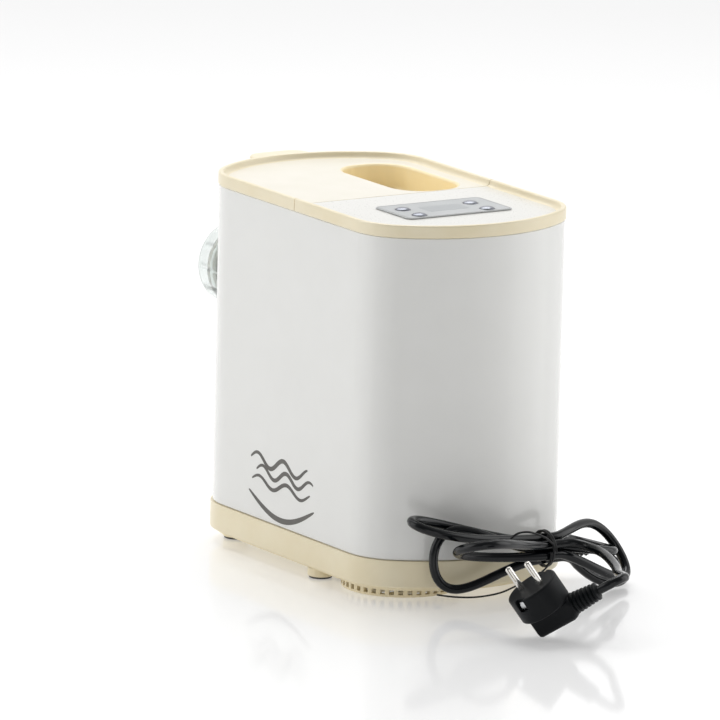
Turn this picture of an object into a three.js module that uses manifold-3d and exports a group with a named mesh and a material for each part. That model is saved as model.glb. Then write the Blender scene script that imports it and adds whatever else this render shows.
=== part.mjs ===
// An electric pasta maker, tied mains lead included. Millimetres, +Z up.
// The floor is z = 0, the front with the extruder faces -Y, and the rear deck is at +Y.
// Places are given from the middle of the body's plan outline; the whole object is
// shifted along Y at the end, so that the origin is under the middle of the machine.
import * as THREE from "three";
import { mergeVertices } from "three/addons/utils/BufferGeometryUtils.js";
import Module from "manifold-3d";

const wasm = await Module();
wasm.setup();

// Clearances shared by all pieces
const gap = 0.3;
const overrun = 20;
const sink = 0.6;

// Body outline in plan: flat sides and bulged ends of three arcs
const bodyHalfWidth = 86;
const bodyHalfLength = 146.5;
const cornerRadius = 44;
const endDepth = 58;
const cornerSteps = 4;
const endSteps = 7;

// Heights of the housing, from the screw's axis up to the lid's face
const screwHeight = 183;
const faceAboveScrew = 89.5;
const faceHeight = screwHeight + faceAboveScrew;
const bandDepth = 4.7;
const bandBottom = faceHeight - bandDepth;
const rimRise = 4.5;
const rimTop = faceHeight + rimRise;
const skirtBottom = 11;
const baseSeamHeight = 31.2;

// Body shell
const shellInset = 0.8;
const shellWall = 2.6;
const ledgeInset = 8;
const ledgeHeight = 4;

// Lid and rear deck
const coverWall = 2.4;
const rimWidth = 4;
const rimRound = 1.4;
const rimFillet = 3.2;
const lipGap = 0.5;
const lipThickness = 1.8;
const lipDepth = 5;
const seamPlace = 5;
const tabWidth = 50;
const tabReach = 20;
const tabRise = 2.5;
const tabTop = faceHeight + tabRise;
const tabThickness = 4.5;
const tabCorner = 14;

// Filling well of the lid
const wellWidth = 53;
const wellMargin = 19.5;
const wellPlace = wellMargin + wellWidth / 2 - bodyHalfWidth;
const wellFront = -104.5;
const wellRear = 1.5;
const wellCorner = 23;
const wellDepth = 20.5;
const wellWall = 2;
const slotWidth = 4;
const slotLength = 34;
const slotCount = 4;

// Rib and seal under the lid
const ribInset = 8;
const ribThickness = 2;
const sealMargin = 0.6;
const sealHeight = 2.7;
const magnetSize = { x: 8, y: 6, z: 5 };
const interlockPlace = 60;
const sensorSize = { x: 10, y: 8, z: 4 };

// Mixing bowl: a trough round the screw's axis
const bowlRadius = 45;
const bowlMargin = 14;
const bowlTopHalf = bodyHalfWidth - bowlMargin;
const bowlFlareRise = 53;
const bowlFlareHeight = screwHeight + bowlFlareRise;
const bowlTopDepth = 26.5;
const bowlTop = faceHeight - bowlTopDepth;
const bowlWall = 2.2;
const bowlFront = -125;
const bowlRear = 0.6;
const bowlInset = 9.4;
const flangeThickness = 2.6;
const flangeRear = 4.4;

// Mixing screw
const coreRadius = 8;
const hubRadius = 11;
const socketHubRadius = 13;
const flightRadius = 18.6;
const flightPitch = 20;
const flightThickness = 3;
const flightStepsPerTurn = 10;
const flightRear = -112;
const screwFront = -195.2;
const screwRear = -0.6;
const paddleReach = 41;
const paddleThickness = 6;
const paddleWidth = 12;
const paddleTwist = 25;
const paddleCount = 4;
const paddleFirst = -96;
const paddleStep = 24;
const hexRadius = 6.5;
const hexDepth = 14;

// Extruder barrel, front collar, die and nut
const barrelBore = 20;
const barrelRadius = 24;
const barrelFront = -196;
const barrelFlangeRadius = 32;
const barrelFlange = 4;
const lugReach = 27.2;
const lugRear = -188;
const lugLength = 4;
const lugAngle = 40;
const lugCount = 3;
const collarRadius = 34;
const collarFront = -155;
const collarRear = -139;
const dieThickness = 5;
const dieRadius = 26.5;
const dieHoleRadius = 2.6;
const dieHoleCircle = 11;
const dieHoleCount = 6;
const nutRadius = 31;
const nutBore = 28;
const nutRear = -166;
const nutFront = -217;
const nutMouthRadius = 20;
const nutFlange = 4.4;
const nutLugBore = 24.5;
const nutLugLength = 4.2;

// Output shaft, bushes and shaft seal
const shaftRadius = 7;
const shaftRear = 45.5;
const sealRadius = 9.7;
const bushRadius = 10.7;
const bushLength = 3.9;

// Gears
const pressureAngle = THREE.MathUtils.degToRad(25);
const fineModule = 1.25;
const coarseModule = 1.75;
const motorTeeth = 12;
const wheelTeeth = 56;
const layTeeth = 14;
const outputTeeth = 52;
const toothPlay = 0.5;
const tipShare = 0.9;
const rootShare = 1.2;
const pinionFlankShares = [0, 0.5, 1];
const wheelFlankShares = [0, 1];
const outputGearFront = 15;
const outputGearWidth = 10;
const wheelFront = 28;
const wheelWidth = 8;
const gearHubRadius = 12;
const gearHubExtra = 2;
const layPinionFront = 14;
const layHubRear = 39;
const axleRadius = 4;

// Support frame and gearbox rear plate
const frameFront = 8.3;
const frameThickness = 3.5;
const frameMargin = 24;
const frameHalfWidth = bodyHalfWidth - frameMargin;
const frameTopDepth = 34.5;
const frameTop = faceHeight - frameTopDepth;
const frameCorner = 24;
const frameFootLength = 16;
const frameFootThickness = 3.7;
const rearPlateFront = 41;
const rearPlateThickness = 3;
const linkWidth = 16;
const pillarRadius = 4;
const hubShare = 0.8;
const frameScrewShare = 0.75;
const pillarsFromScrew = [
  [-42, 32],
  [44, 39],
  [-24, -83],
  [72, -63],
];

// Motor
const motorPlace = 30;
const motorDrop = 95;
const motorHeight = screwHeight - motorDrop;
const motorShaftRadius = 3.9;
const motorShaftFront = 24;
const motorShaftRear = 128;
const armatureRadius = 18.2;
const armatureFront = 60;
const armatureRear = 94;
const commutatorRadius = 10.5;
const commutatorFront = 101;
const commutatorRear = 110;
const statorHalf = 29;
const statorCorner = 7;
const statorFront = 58;
const statorRear = 96;
const statorBore = 19.2;
const windingOuter = 23.5;
const windingInner = 19.5;
const windingFront = 52;
const windingRear = 101;
const windingHalfAngle = 52;
const bracketRadius = 27;
const bracketWall = 3.2;
const bracketBossRadius = 9;
const bracketBossLength = 6;
const rearBracketEnd = 117;
const brushInner = 10.8;
const brushOuter = 23.3;
const brushHalf = 4;
const fanRadius = 25;
const fanHubRadius = 9;
const fanFront = 119;
const fanDisc = 1.6;
const fanDepth = 7;
const bladeCount = 9;
const bladeThickness = 1.6;
const cradleHalfWidth = 12;
const cradleFront = 28;
const cradleRear = 127;
const cradlePad = 8;
const cradleStrip = 3;
const cradleRise = 3;

// Base tray, vent ring and feet
const baseProud = 0.8;
const baseWall = 3;
const baseFloorBottom = 8;
const baseFloorTop = 13;
const baseFloorInset = 4.6;
const ventMargin = 52;
const ventPlace = [bodyHalfWidth - ventMargin, 78];
const ventRadius = 43;
const ventWall = 4.4;
const ventSpigot = 2;
const ventBottom = 0.7;
const ventBand = 1.6;
const ventSlotCount = 40;
const ventSlotWidth = 3.6;
const ventBarWidth = 2.4;
const ventBarPitch = 14;
const ventBarCount = 5;
const footRadius = 9.5;
const footRound = 1.6;
const footStemRadius = 3.2;
const footStemHeight = 2.6;
const footMargins = { front: 26, rearLeft: 34, rearRight: 14 };
const footPlaces = {
  front_left: [footMargins.front - bodyHalfWidth, -108],
  front_right: [bodyHalfWidth - footMargins.front, -108],
  rear_left: [footMargins.rearLeft - bodyHalfWidth, 96],
  rear_right: [bodyHalfWidth - footMargins.rearRight, 30],
};

// Screws that hold the base
const screwHeadRadius = 4;
const screwHeadHeight = 1.6;
const screwShankRadius = 2;
const screwShankLength = 7;
const screwHoleGap = 0.35;

// Control panel on the deck
const overlayPlace = [-4, 65];
const overlaySize = [90, 49];
const overlayCorner = 5;
const overlayThickness = 0.7;
const displaySize = [34, 18];
const buttonRadius = 5.6;
const buttonHoleRadius = 5.9;
const buttonRise = 2.8;
const buttonTop = faceHeight + buttonRise;
const buttonDome = 1.7;
const domeShares = [0.72, 0.4];
const buttonFlangeRadius = 7;
const buttonFlange = 1.5;
const buttonStemRadius = 1.8;
const buttonStemDepth = 6;
const buttonStemBottom = faceHeight - buttonStemDepth;
const buttonPlaces = [
  [27, 58.5],
  [27, 81],
  [-31, 58.5],
  [-31, 81],
];
const controlBoardSize = [92, 44];
const controlBoardDepth = 12.5;
const controlBoardTop = faceHeight - controlBoardDepth;
const boardThickness = 1.6;
const keySwitchHalf = 3;
const keySwitchHeight = 4;
const keyTipRadius = 1.7;
const keyTipHeight = 1;
const boardBossRadius = 2.5;
const boardBossInset = 4;

// Mains board with its large parts
const mainsMargin = 40;
const mainsPlace = [mainsMargin - bodyHalfWidth, 80];
const mainsSize = [40, 60];
const mainsHeight = 22;
const mainsBossRadius = 3;
const capacitorSize = { x: 26, y: 16, z: 18 };
const capacitorPlace = [mainsPlace[0], 98];
const transformerSize = { x: 30, y: 26, z: 24 };
const transformerPlace = [mainsPlace[0], 66];

// Strain relief of the mains lead, in a rear corner of the base
const reliefTurn = THREE.MathUtils.degToRad(153.2);
const reliefHeight = 21.5;
const reliefFlangeRadius = 8;
const reliefFlange = 2;
const reliefNeck = 4.8;
const reliefRoot = 6.6;
const reliefTip = 4.6;
const reliefReach = 22;
const reliefSeat = 0.6;
const reliefInnerSeat = 2.4;

// Mains lead, from the strain relief to the tied hank and on to the plug
const leadRadius = 3.4;
const leadGap = 0.5;
const leadSides = 10;
const leadSteps = 14;
const leadRoute = [
  [-114.2, 129.2, 16],
  [-117, 137.5, 11],
  [-115.3, 146.9, 7],
  [-108.7, 154.2, 5],
  [-99.4, 157.3, 4.6],
  [-87, 159, 7.6],
  [-75, 161, 14],
  [-64, 163.5, 22],
  [-56, 166.2, 28.6],
  [-48.5, 167, 31.1],
];
const plugRoute = [
  [-48.5, 174.3, 43],
  [-54.6, 177.5, 42.2],
  [-58.6, 184.5, 41],
  [-59.2, 198, 40.4],
  [-54, 216, 40.6],
  [-43, 243, 40.6],
  [-28.5, 269.5, 42],
  [-14.2, 298.8, 46.8],
  [-10.6, 301.6, 47.2],
  [-6.2, 302.9, 46.5],
  [-2, 302.5, 44.9],
];

// The hank: loops that are drawn together at a tied waist. Each loop leaves the waist
// on one side, from one strand's place in the bundle to another's.
const hankSides = 6;
const loopSteps = 24;
const waist = [-35.5, 167, 39];
const waistHalf = 6;
const strandPitch = 7.9;
const strandTurns = { top: 90, upperNear: 30, lowerNear: -30, bottom: -90, upperFar: 150 };
const tipEase = 1.4;
const loops = [
  { from: "bottom", to: "middle", side: 1, tip: [82, -16, 0], open: [0, 1, -24], ease: 0.8 },
  { from: "middle", to: "upperFar", side: -1, tip: [-54, -22, -12], open: [-7, 20, 0], ease: 0.4 },
  { from: "upperFar", to: "top", side: 1, tip: [106, -4, 22], open: [-3, -14.5, 3], ease: 0.4 },
  { from: "top", to: "lowerNear", side: -1, tip: [-68, -20, -18], open: [4, -11, 15], ease: 0.3 },
  { from: "lowerNear", to: "upperNear", side: 1, tip: [82, 20, 14], open: [4, -22, -6], ease: 0.5 },
];
const tieWidth = 7;
const tieThickness = 2.2;
const gapSamples = 600;

// Plug: a round face with two pins, and a side arm that ends in a boot
const plugPlace = [43.6, 266, 39.8];
const plugPinsAlong = [0.545, -0.185, 0.818];
const plugArmAlong = [-0.581, 0.62, 0.527];
const plugRadius = 19.5;
const plugDepth = 20;
const plugBodyHalf = 9.5;
const plugBodyRear = -14;
const plugBodyFront = 15;
const plugArmDepth = 27;
const plugBootEnd = 40;
const plugBootRadius = 6.8;
const plugBootSides = 12;
const pinRadius = 2.4;
const pinLength = 19;
const pinSpacing = 19;
const pinTurn = THREE.MathUtils.degToRad(-27);

// Fineness of round shapes
const arcSteps = 4;
const quarterSteps = 2;
const roundSides = 20;
const plainSides = 12;
const smallSides = 10;
const mergeTolerance = 1e-4;

// Finishes
const finishes = {
  whitePlastic: { color: 0xf1f1ec, roughness: 0.25, metalness: 0 },
  creamPlastic: { color: 0xf3e6c3, roughness: 0.35, metalness: 0 },
  paleCream: { color: 0xfbf7ea, roughness: 0.35, metalness: 0 },
  silverPanel: { color: 0xc8cacb, roughness: 0.4, metalness: 0.3 },
  darkWindow: { color: 0xb9bcbe, roughness: 0.15, metalness: 0 },
  buttonMetal: { color: 0xb8babd, roughness: 0.3, metalness: 0.7 },
  clearPlastic: { color: 0xeef3f2, roughness: 0.1, metalness: 0, transparent: true, opacity: 0.4 },
  steel: { color: 0xb4b6b8, roughness: 0.35, metalness: 1 },
  nylon: { color: 0xe8e4d8, roughness: 0.55, metalness: 0 },
  rubber: { color: 0x3c3c3c, roughness: 0.8, metalness: 0 },
  bronze: { color: 0xb08a4a, roughness: 0.4, metalness: 1 },
  copper: { color: 0xb4653a, roughness: 0.4, metalness: 0.9 },
  board: { color: 0x2f6b3c, roughness: 0.6, metalness: 0 },
  blackPlastic: { color: 0x1c1d1f, roughness: 0.4, metalness: 0 },
  blackCord: { color: 0x17181a, roughness: 0.35, metalness: 0 },
  nickel: { color: 0xd8d4cc, roughness: 0.25, metalness: 1 },
  aluminium: { color: 0x9da0a3, roughness: 0.45, metalness: 1 },
};

// Solids: joining and cutting of closed meshes

function solidOf(geometry) {
  const bare = new THREE.BufferGeometry();
  bare.setAttribute("position", geometry.getAttribute("position"));
  if (geometry.index) bare.setIndex(geometry.index);
  const merged = mergeVertices(bare, mergeTolerance);
  const corners = merged.getAttribute("position").array;
  const faces = properFaces(merged.index.array);
  if (volumeOf(corners, faces) < 0) faces.reverse();
  return new wasm.Manifold(
    new wasm.Mesh({ numProp: 3, vertProperties: corners, triVerts: faces }),
  );
}

function properFaces(index) {
  const kept = [];
  for (let i = 0; i < index.length; i += 3) {
    const [a, b, c] = [index[i], index[i + 1], index[i + 2]];
    if (a !== b && b !== c && c !== a) kept.push(a, b, c);
  }
  return new Uint32Array(kept);
}

function volumeOf(corners, faces) {
  const [a, b, c] = [new THREE.Vector3(), new THREE.Vector3(), new THREE.Vector3()];
  let sum = 0;
  for (let i = 0; i < faces.length; i += 3) {
    a.fromArray(corners, faces[i] * 3);
    b.fromArray(corners, faces[i + 1] * 3);
    c.fromArray(corners, faces[i + 2] * 3);
    sum += a.dot(b.cross(c));
  }
  return sum;
}

function geometryOf(solid) {
  const made = solid.getMesh();
  const geometry = new THREE.BufferGeometry();
  geometry.setAttribute("position", new THREE.BufferAttribute(made.vertProperties, 3));
  geometry.setIndex(new THREE.BufferAttribute(made.triVerts, 1));
  return geometry;
}

function join(first, ...others) {
  return geometryOf(others.reduce((sum, next) => sum.add(solidOf(next)), solidOf(first)));
}

function cut(first, ...cutters) {
  return geometryOf(cutters.reduce((left, next) => left.subtract(solidOf(next)), solidOf(first)));
}

function common(first, second) {
  return geometryOf(solidOf(first).intersect(solidOf(second)));
}

// Plain shapes

// A shape drawn in plan, standing from one height to another
function upright(shape, from, to) {
  const settings = { depth: to - from, bevelEnabled: false, curveSegments: arcSteps };
  const geometry = new THREE.ExtrudeGeometry(shape, settings);
  geometry.translate(0, 0, from);
  return geometry;
}

// A shape drawn in X and Z, running along Y from one place to another
function lengthwise(shape, from, to) {
  const geometry = upright(shape, 0, to - from);
  geometry.rotateX(Math.PI / 2);
  geometry.translate(0, to, 0);
  return geometry;
}

// A round piece about the Y axis, from its outline in radius and place along Y
function turned(outline, sides = roundSides) {
  return new THREE.LatheGeometry(
    outline.map(([radius, along]) => new THREE.Vector2(radius, along)),
    sides,
  );
}

// The same about the Z axis
function turnedUpright(outline, sides = roundSides) {
  const geometry = turned(outline, sides);
  geometry.rotateX(Math.PI / 2);
  return geometry;
}

function rod(radius, from, to, sides = roundSides) {
  return turned([[0, from], [radius, from], [radius, to], [0, to]], sides);
}

function uprightRod(radius, from, to, sides = roundSides) {
  return turnedUpright([[0, from], [radius, from], [radius, to], [0, to]], sides);
}

function ring(inner, outer, from, to, sides = roundSides) {
  const corners = [[inner, from], [outer, from], [outer, to], [inner, to], [inner, from]];
  return turned(corners, sides);
}

function uprightRing(inner, outer, from, to, sides = roundSides) {
  const geometry = ring(inner, outer, from, to, sides);
  geometry.rotateX(Math.PI / 2);
  return geometry;
}

function block(low, high) {
  const size = high.map((value, i) => value - low[i]);
  const geometry = new THREE.BoxGeometry(...size);
  geometry.translate(...high.map((value, i) => (value + low[i]) / 2));
  return geometry;
}

function moved(geometry, x, y, z = 0) {
  geometry.translate(x, y, z);
  return geometry;
}

// A rectangle with round corners round the point (x, y)
function roundedRectangle(x, y, halfWidth, halfHeight, corner) {
  const shape = new THREE.Shape();
  const quarter = Math.PI / 2;
  const right = x + halfWidth - corner;
  const left = x - halfWidth + corner;
  const upper = y + halfHeight - corner;
  const lower = y - halfHeight + corner;
  shape.absarc(right, upper, corner, 0, quarter);
  shape.absarc(left, upper, corner, quarter, 2 * quarter);
  shape.absarc(left, lower, corner, 2 * quarter, 3 * quarter);
  shape.absarc(right, lower, corner, 3 * quarter, 4 * quarter);
  shape.closePath();
  return shape;
}

// A bar with round ends from one point to another
function link(from, to, width) {
  const length = Math.hypot(to[0] - from[0], to[1] - from[1]);
  const turn = Math.atan2(to[1] - from[1], to[0] - from[0]);
  const shape = new THREE.Shape();
  const side = Math.PI / 2;
  shape.absarc(from[0], from[1], width / 2, turn + side, turn + 3 * side);
  shape.absarc(
    from[0] + length * Math.cos(turn),
    from[1] + length * Math.sin(turn),
    width / 2,
    turn - side,
    turn + side,
  );
  shape.closePath();
  return shape;
}

// A piece of a ring's section between two angles
function sector(inner, outer, middle, halfAngle) {
  const shape = new THREE.Shape();
  shape.absarc(0, 0, outer, middle - halfAngle, middle + halfAngle);
  shape.absarc(0, 0, inner, middle + halfAngle, middle - halfAngle, true);
  shape.closePath();
  return shape;
}

function polygonShape(sides, radius) {
  const corners = [];
  for (let i = 0; i < sides; i++) {
    const turn = (2 * Math.PI * i) / sides;
    corners.push(new THREE.Vector2(radius * Math.cos(turn), radius * Math.sin(turn)));
  }
  return new THREE.Shape(corners);
}

// The points of the body's outline, drawn in by an inset
function outlinePoints(inset) {
  const halfWidth = bodyHalfWidth - inset;
  const halfLength = bodyHalfLength - inset;
  const corner = cornerRadius - inset;
  const depth = endDepth - inset;
  const sideways = halfWidth - corner;
  const straight = halfLength - depth;
  const endRadius = (sideways ** 2 + depth ** 2 - corner ** 2) / (2 * (depth - corner));
  const meeting = Math.atan2(endRadius - depth, sideways);
  const arcs = [
    [sideways, straight, corner, 0, meeting],
    [0, halfLength - endRadius, endRadius, meeting, Math.PI - meeting],
    [-sideways, straight, corner, Math.PI - meeting, Math.PI],
    [-sideways, -straight, corner, Math.PI, Math.PI + meeting],
    [0, endRadius - halfLength, endRadius, Math.PI + meeting, 2 * Math.PI - meeting],
    [sideways, -straight, corner, 2 * Math.PI - meeting, 2 * Math.PI],
  ];
  return arcs.flatMap(([x, y, radius, from, to]) => {
    const isEnd = x === 0;
    const steps = isEnd ? endSteps : cornerSteps;
    const points = [];
    for (let i = isEnd ? 1 : 0; i <= (isEnd ? steps - 1 : steps); i++) {
      const turn = from + ((to - from) * i) / steps;
      points.push(new THREE.Vector2(x + radius * Math.cos(turn), y + radius * Math.sin(turn)));
    }
    return points;
  });
}

function outline(inset) {
  return new THREE.Shape(outlinePoints(inset));
}

function walled(outer, inner, from, to) {
  return cut(upright(outline(outer), from, to), upright(outline(inner), from - overrun, to + overrun));
}

// A closed solid through convex loops of equally many points, with flat ends
function skinned(loops) {
  const count = loops[0].length;
  const top = (loops.length - 1) * count;
  const index = [];
  for (let k = 0; k < top; k += count) {
    for (let i = 0; i < count; i++) {
      const next = (i + 1) % count;
      index.push(k + i, k + next, k + count + next);
      index.push(k + i, k + count + next, k + count + i);
    }
  }
  for (let i = 1; i < count - 1; i++) {
    index.push(0, i + 1, i);
    index.push(top, top + i, top + i + 1);
  }
  const geometry = new THREE.BufferGeometry().setFromPoints(loops.flat());
  geometry.setIndex(index);
  return geometry;
}

// Loops of the body's outline at insets and heights
function lofted(levels) {
  return skinned(
    levels.map(([inset, height]) =>
      outlinePoints(inset).map((point) => new THREE.Vector3(point.x, point.y, height)),
    ),
  );
}

// The levels of a quarter round, from one level to another
function quarterLevels(from, to, startsFlat = false) {
  const levels = [];
  for (let i = 1; i < quarterSteps; i++) {
    const turn = (Math.PI / 2) * (i / quarterSteps);
    const along = [1 - Math.cos(turn), Math.sin(turn)];
    const [inwards, upwards] = startsFlat ? along.reverse() : along;
    levels.push([from[0] + (to[0] - from[0]) * inwards, from[1] + (to[1] - from[1]) * upwards]);
  }
  return levels;
}

// Housing

const shellInner = shellInset + shellWall;
const ceiling = faceHeight - coverWall;

function bodyShell() {
  const wall = walled(shellInset, shellInner, baseSeamHeight, bandBottom - gap);
  const ledgeTop = bowlTop - flangeThickness - gap;
  const ledge = walled(shellInner - sink, ledgeInset, ledgeTop - ledgeHeight, ledgeTop);
  const mouth = moved(rod(collarRadius + gap, -bodyHalfLength - overrun, collarRear), 0, 0, screwHeight);
  return cut(join(wall, ledge), mouth);
}

// The lid and the rear deck are cut from one pan with a raised rim and a lip below
function coverPan() {
  const lipOuter = shellInner + lipGap;
  const lipInner = lipOuter + lipThickness;
  const roundStart = [0, rimTop - rimRound];
  const roundEnd = [rimRound, rimTop];
  const innerStart = [rimWidth - rimRound, rimTop];
  const innerEnd = [rimWidth, rimTop - rimRound];
  const filletStart = [rimWidth, faceHeight + rimFillet];
  const filletEnd = [rimWidth + rimFillet, faceHeight];
  return lofted([
    [lipInner, ceiling],
    [lipInner, bandBottom - lipDepth],
    [lipOuter, bandBottom - lipDepth],
    [lipOuter, bandBottom],
    [0, bandBottom],
    roundStart,
    ...quarterLevels(roundStart, roundEnd),
    roundEnd,
    innerStart,
    ...quarterLevels(innerStart, innerEnd, true),
    filletStart,
    ...quarterLevels(filletStart, filletEnd),
    filletEnd,
  ]);
}

function halfSpace(from, to) {
  const across = bodyHalfWidth + overrun;
  return block([-across, from, 0], [across, to, rimTop + overrun]);
}

function lidTab() {
  const middle = -bodyHalfLength + tabCorner;
  const shape = roundedRectangle(0, middle, tabWidth / 2, tabReach + tabCorner, tabCorner);
  const plate = upright(shape, tabTop - tabThickness, tabTop);
  return cut(plate, upright(outline(rimWidth - rimRound), 0, rimTop));
}

function wellShape(margin) {
  const middle = (wellFront + wellRear) / 2;
  const halfLength = (wellRear - wellFront) / 2 + margin;
  return roundedRectangle(wellPlace, middle, wellWidth / 2 + margin, halfLength, wellCorner + margin);
}

function dripSlots() {
  const bottom = faceHeight - wellDepth;
  const pitch = (wellRear - wellFront) / slotCount;
  const slots = [];
  for (let i = 0; i < slotCount; i++) {
    const middle = wellFront + pitch * (i + 0.5);
    slots.push(
      block(
        [wellPlace - slotLength / 2, middle - slotWidth / 2, bottom - wellWall - sink],
        [wellPlace + slotLength / 2, middle + slotWidth / 2, bottom + sink],
      ),
    );
  }
  return slots;
}

// A ring under the lid that follows the rim in front and crosses behind the bowl
function ribRing(margin, from, to) {
  const outer = ribInset - margin;
  const inner = ribInset + ribThickness + margin;
  const rear = bowlRear + gap + ribThickness + margin;
  const body = common(upright(outline(outer), from, to), halfSpace(-bodyHalfLength - overrun, rear));
  const room = common(
    upright(outline(inner), from - overrun, to + overrun),
    halfSpace(-bodyHalfLength - overrun, rear - ribThickness - 2 * margin),
  );
  return cut(body, room);
}

const sealTop = bowlTop + gap + sealHeight;

function lid() {
  const edge = seamPlace - gap / 2;
  const front = common(coverPan(), halfSpace(-bodyHalfLength - overrun, edge));
  const bottom = faceHeight - wellDepth;
  const cup = upright(wellShape(wellWall), bottom - wellWall, ceiling + sink);
  const rib = ribRing(0, sealTop + gap, ceiling + sink);
  const room = upright(wellShape(0), bottom, rimTop + overrun);
  return cut(join(front, cup, rib, lidTab()), room, ...dripSlots());
}

function lidSeal() {
  return ribRing(sealMargin, bowlTop + gap, sealTop);
}

function lidMagnet() {
  const rear = bowlRear;
  const middle = interlockPlace;
  const top = ceiling - gap;
  return block(
    [middle - magnetSize.x / 2, rear - magnetSize.y, top - magnetSize.z],
    [middle + magnetSize.x / 2, rear, top],
  );
}

function lidSensor() {
  const front = seamPlace + lipThickness;
  const top = ceiling - gap;
  return block(
    [interlockPlace - sensorSize.x / 2, front, top - sensorSize.z],
    [interlockPlace + sensorSize.x / 2, front + sensorSize.y, top],
  );
}

// Places of the bosses and of the corners of a board
function cornerPlaces([x, y], [width, length], inset) {
  const [across, along] = [width / 2 - inset, length / 2 - inset];
  return [[1, 1], [-1, 1], [-1, -1], [1, -1]].map(([a, b]) => [x + a * across, y + b * along]);
}

function rearDeck() {
  const edge = seamPlace + gap / 2;
  const rear = common(coverPan(), halfSpace(edge, bodyHalfLength + overrun));
  const bosses = cornerPlaces(overlayPlace, controlBoardSize, boardBossInset).map(([x, y]) =>
    moved(uprightRod(boardBossRadius, controlBoardTop + gap, ceiling + sink, smallSides), x, y),
  );
  const holes = buttonPlaces.map(([x, y]) =>
    moved(uprightRod(buttonHoleRadius, ceiling - sink, rimTop, plainSides), x, y),
  );
  return cut(join(rear, ...bosses), ...holes);
}

function baseTray() {
  const floor = upright(outline(baseFloorInset), baseFloorBottom, baseFloorTop - sink);
  const skirt = upright(outline(-baseProud), skirtBottom, baseSeamHeight - gap);
  const room = upright(outline(baseWall - baseProud), baseFloorTop, baseSeamHeight + overrun);
  const bosses = cornerPlaces(mainsPlace, mainsSize, boardBossInset).map(([x, y]) =>
    moved(uprightRod(mainsBossRadius, baseFloorTop - sink, mainsHeight - gap, smallSides), x, y),
  );
  const below = baseFloorBottom - overrun;
  const ventHole = uprightRod(ventRadius - ventSpigot + gap, below, baseFloorTop + sink, ventSlotCount);
  const vent = moved(ventHole, ...ventPlace);
  const stems = Object.values(footPlaces).map(([x, y]) =>
    moved(uprightRod(footStemRadius + gap, below, baseFloorTop + sink, smallSides), x, y),
  );
  const screws = baseScrewPlaces().flatMap(([x, y]) => [
    moved(uprightRod(screwHeadRadius + gap, below, screwSeat(), smallSides), x, y),
    moved(uprightRod(screwShankRadius + screwHoleGap, below, baseFloorTop + sink, smallSides), x, y),
  ]);
  const tray = join(cut(join(floor, skirt), room), ...bosses);
  return cut(tray, vent, reliefHole(), ...stems, ...screws);
}

function baseVentRing() {
  const top = baseFloorBottom - gap;
  const inner = ventRadius - ventWall;
  const wall = uprightRing(inner, ventRadius, ventBottom, top, ventSlotCount);
  const spigot = uprightRing(inner, ventRadius - ventSpigot, top - sink, baseFloorTop - gap, ventSlotCount);
  const slots = [];
  for (let i = 0; i < ventSlotCount; i++) {
    const slot = block(
      [inner - sink, -ventSlotWidth / 2, ventBottom + ventBand],
      [ventRadius + sink, ventSlotWidth / 2, top - sink],
    );
    slot.rotateZ((2 * Math.PI * (i + 0.5)) / ventSlotCount);
    slots.push(slot);
  }
  const bars = [];
  for (let i = 0; i < ventBarCount; i++) {
    const y = (i - (ventBarCount - 1) / 2) * ventBarPitch;
    const reach = Math.sqrt(inner ** 2 - y ** 2) + sink;
    bars.push(
      block(
        [-reach, y - ventBarWidth / 2, ventBottom],
        [reach, y + ventBarWidth / 2, ventBottom + ventBarWidth],
      ),
    );
  }
  const guard = join(wall, spigot, ...bars);
  return moved(cut(guard, ...slots), ...ventPlace);
}

function foot() {
  const top = baseFloorBottom - gap;
  const stem = top + footStemHeight;
  return turnedUpright([
    [0, 0],
    [footRadius - footRound, 0],
    [footRadius, footRound],
    [footRadius, top],
    [footStemRadius, top],
    [footStemRadius, stem],
    [0, stem],
  ], plainSides);
}

// Screws from below hold the frame's foot and the motor's cradle
function baseScrewPlaces() {
  const frameRow = frameFront + frameFootLength / 2;
  const across = frameHalfWidth * frameScrewShare;
  return [
    [-across, frameRow],
    [across, frameRow],
    [motorPlace, cradleFront + cradlePad / 2],
    [motorPlace, cradleRear - cradlePad / 2],
  ];
}

function screwSeat() {
  return baseFloorBottom + screwHeadHeight + gap;
}

function baseScrew() {
  const headTop = screwSeat() - gap;
  return turnedUpright(
    [
      [0, headTop - screwHeadHeight],
      [screwHeadRadius, headTop - screwHeadHeight],
      [screwHeadRadius, headTop],
      [screwShankRadius, headTop],
      [screwShankRadius, headTop + screwShankLength],
      [0, headTop + screwShankLength],
    ],
    smallSides,
  );
}

// Control panel

function controlOverlay() {
  const [width, length] = overlaySize;
  const shape = roundedRectangle(...overlayPlace, width / 2, length / 2, overlayCorner);
  const from = faceHeight + gap;
  const plate = upright(shape, from, from + overlayThickness);
  const holes = buttonPlaces.map(([x, y]) =>
    moved(uprightRod(buttonHoleRadius, faceHeight, rimTop, plainSides), x, y),
  );
  const [across, along] = displaySize.map((size) => size / 2 + gap);
  const [x, y] = overlayPlace;
  const window = block([x - across, y - along, faceHeight], [x + across, y + along, rimTop]);
  return cut(plate, window, ...holes);
}

function displayWindow() {
  const [x, y] = overlayPlace;
  const [across, along] = displaySize.map((size) => size / 2);
  const from = faceHeight + gap;
  return block([x - across, y - along, from], [x + across, y + along, from + overlayThickness]);
}

function button() {
  const flangeTop = ceiling - gap;
  const flangeBottom = flangeTop - buttonFlange;
  return turnedUpright([
    [0, buttonStemBottom],
    [buttonStemRadius, buttonStemBottom],
    [buttonStemRadius, flangeBottom],
    [buttonFlangeRadius, flangeBottom],
    [buttonFlangeRadius, flangeTop],
    [buttonRadius, flangeTop],
    [buttonRadius, buttonTop - buttonDome],
    [buttonRadius * domeShares[0], buttonTop - buttonDome * domeShares[1]],
    [0, buttonTop],
  ], plainSides);
}

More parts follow.
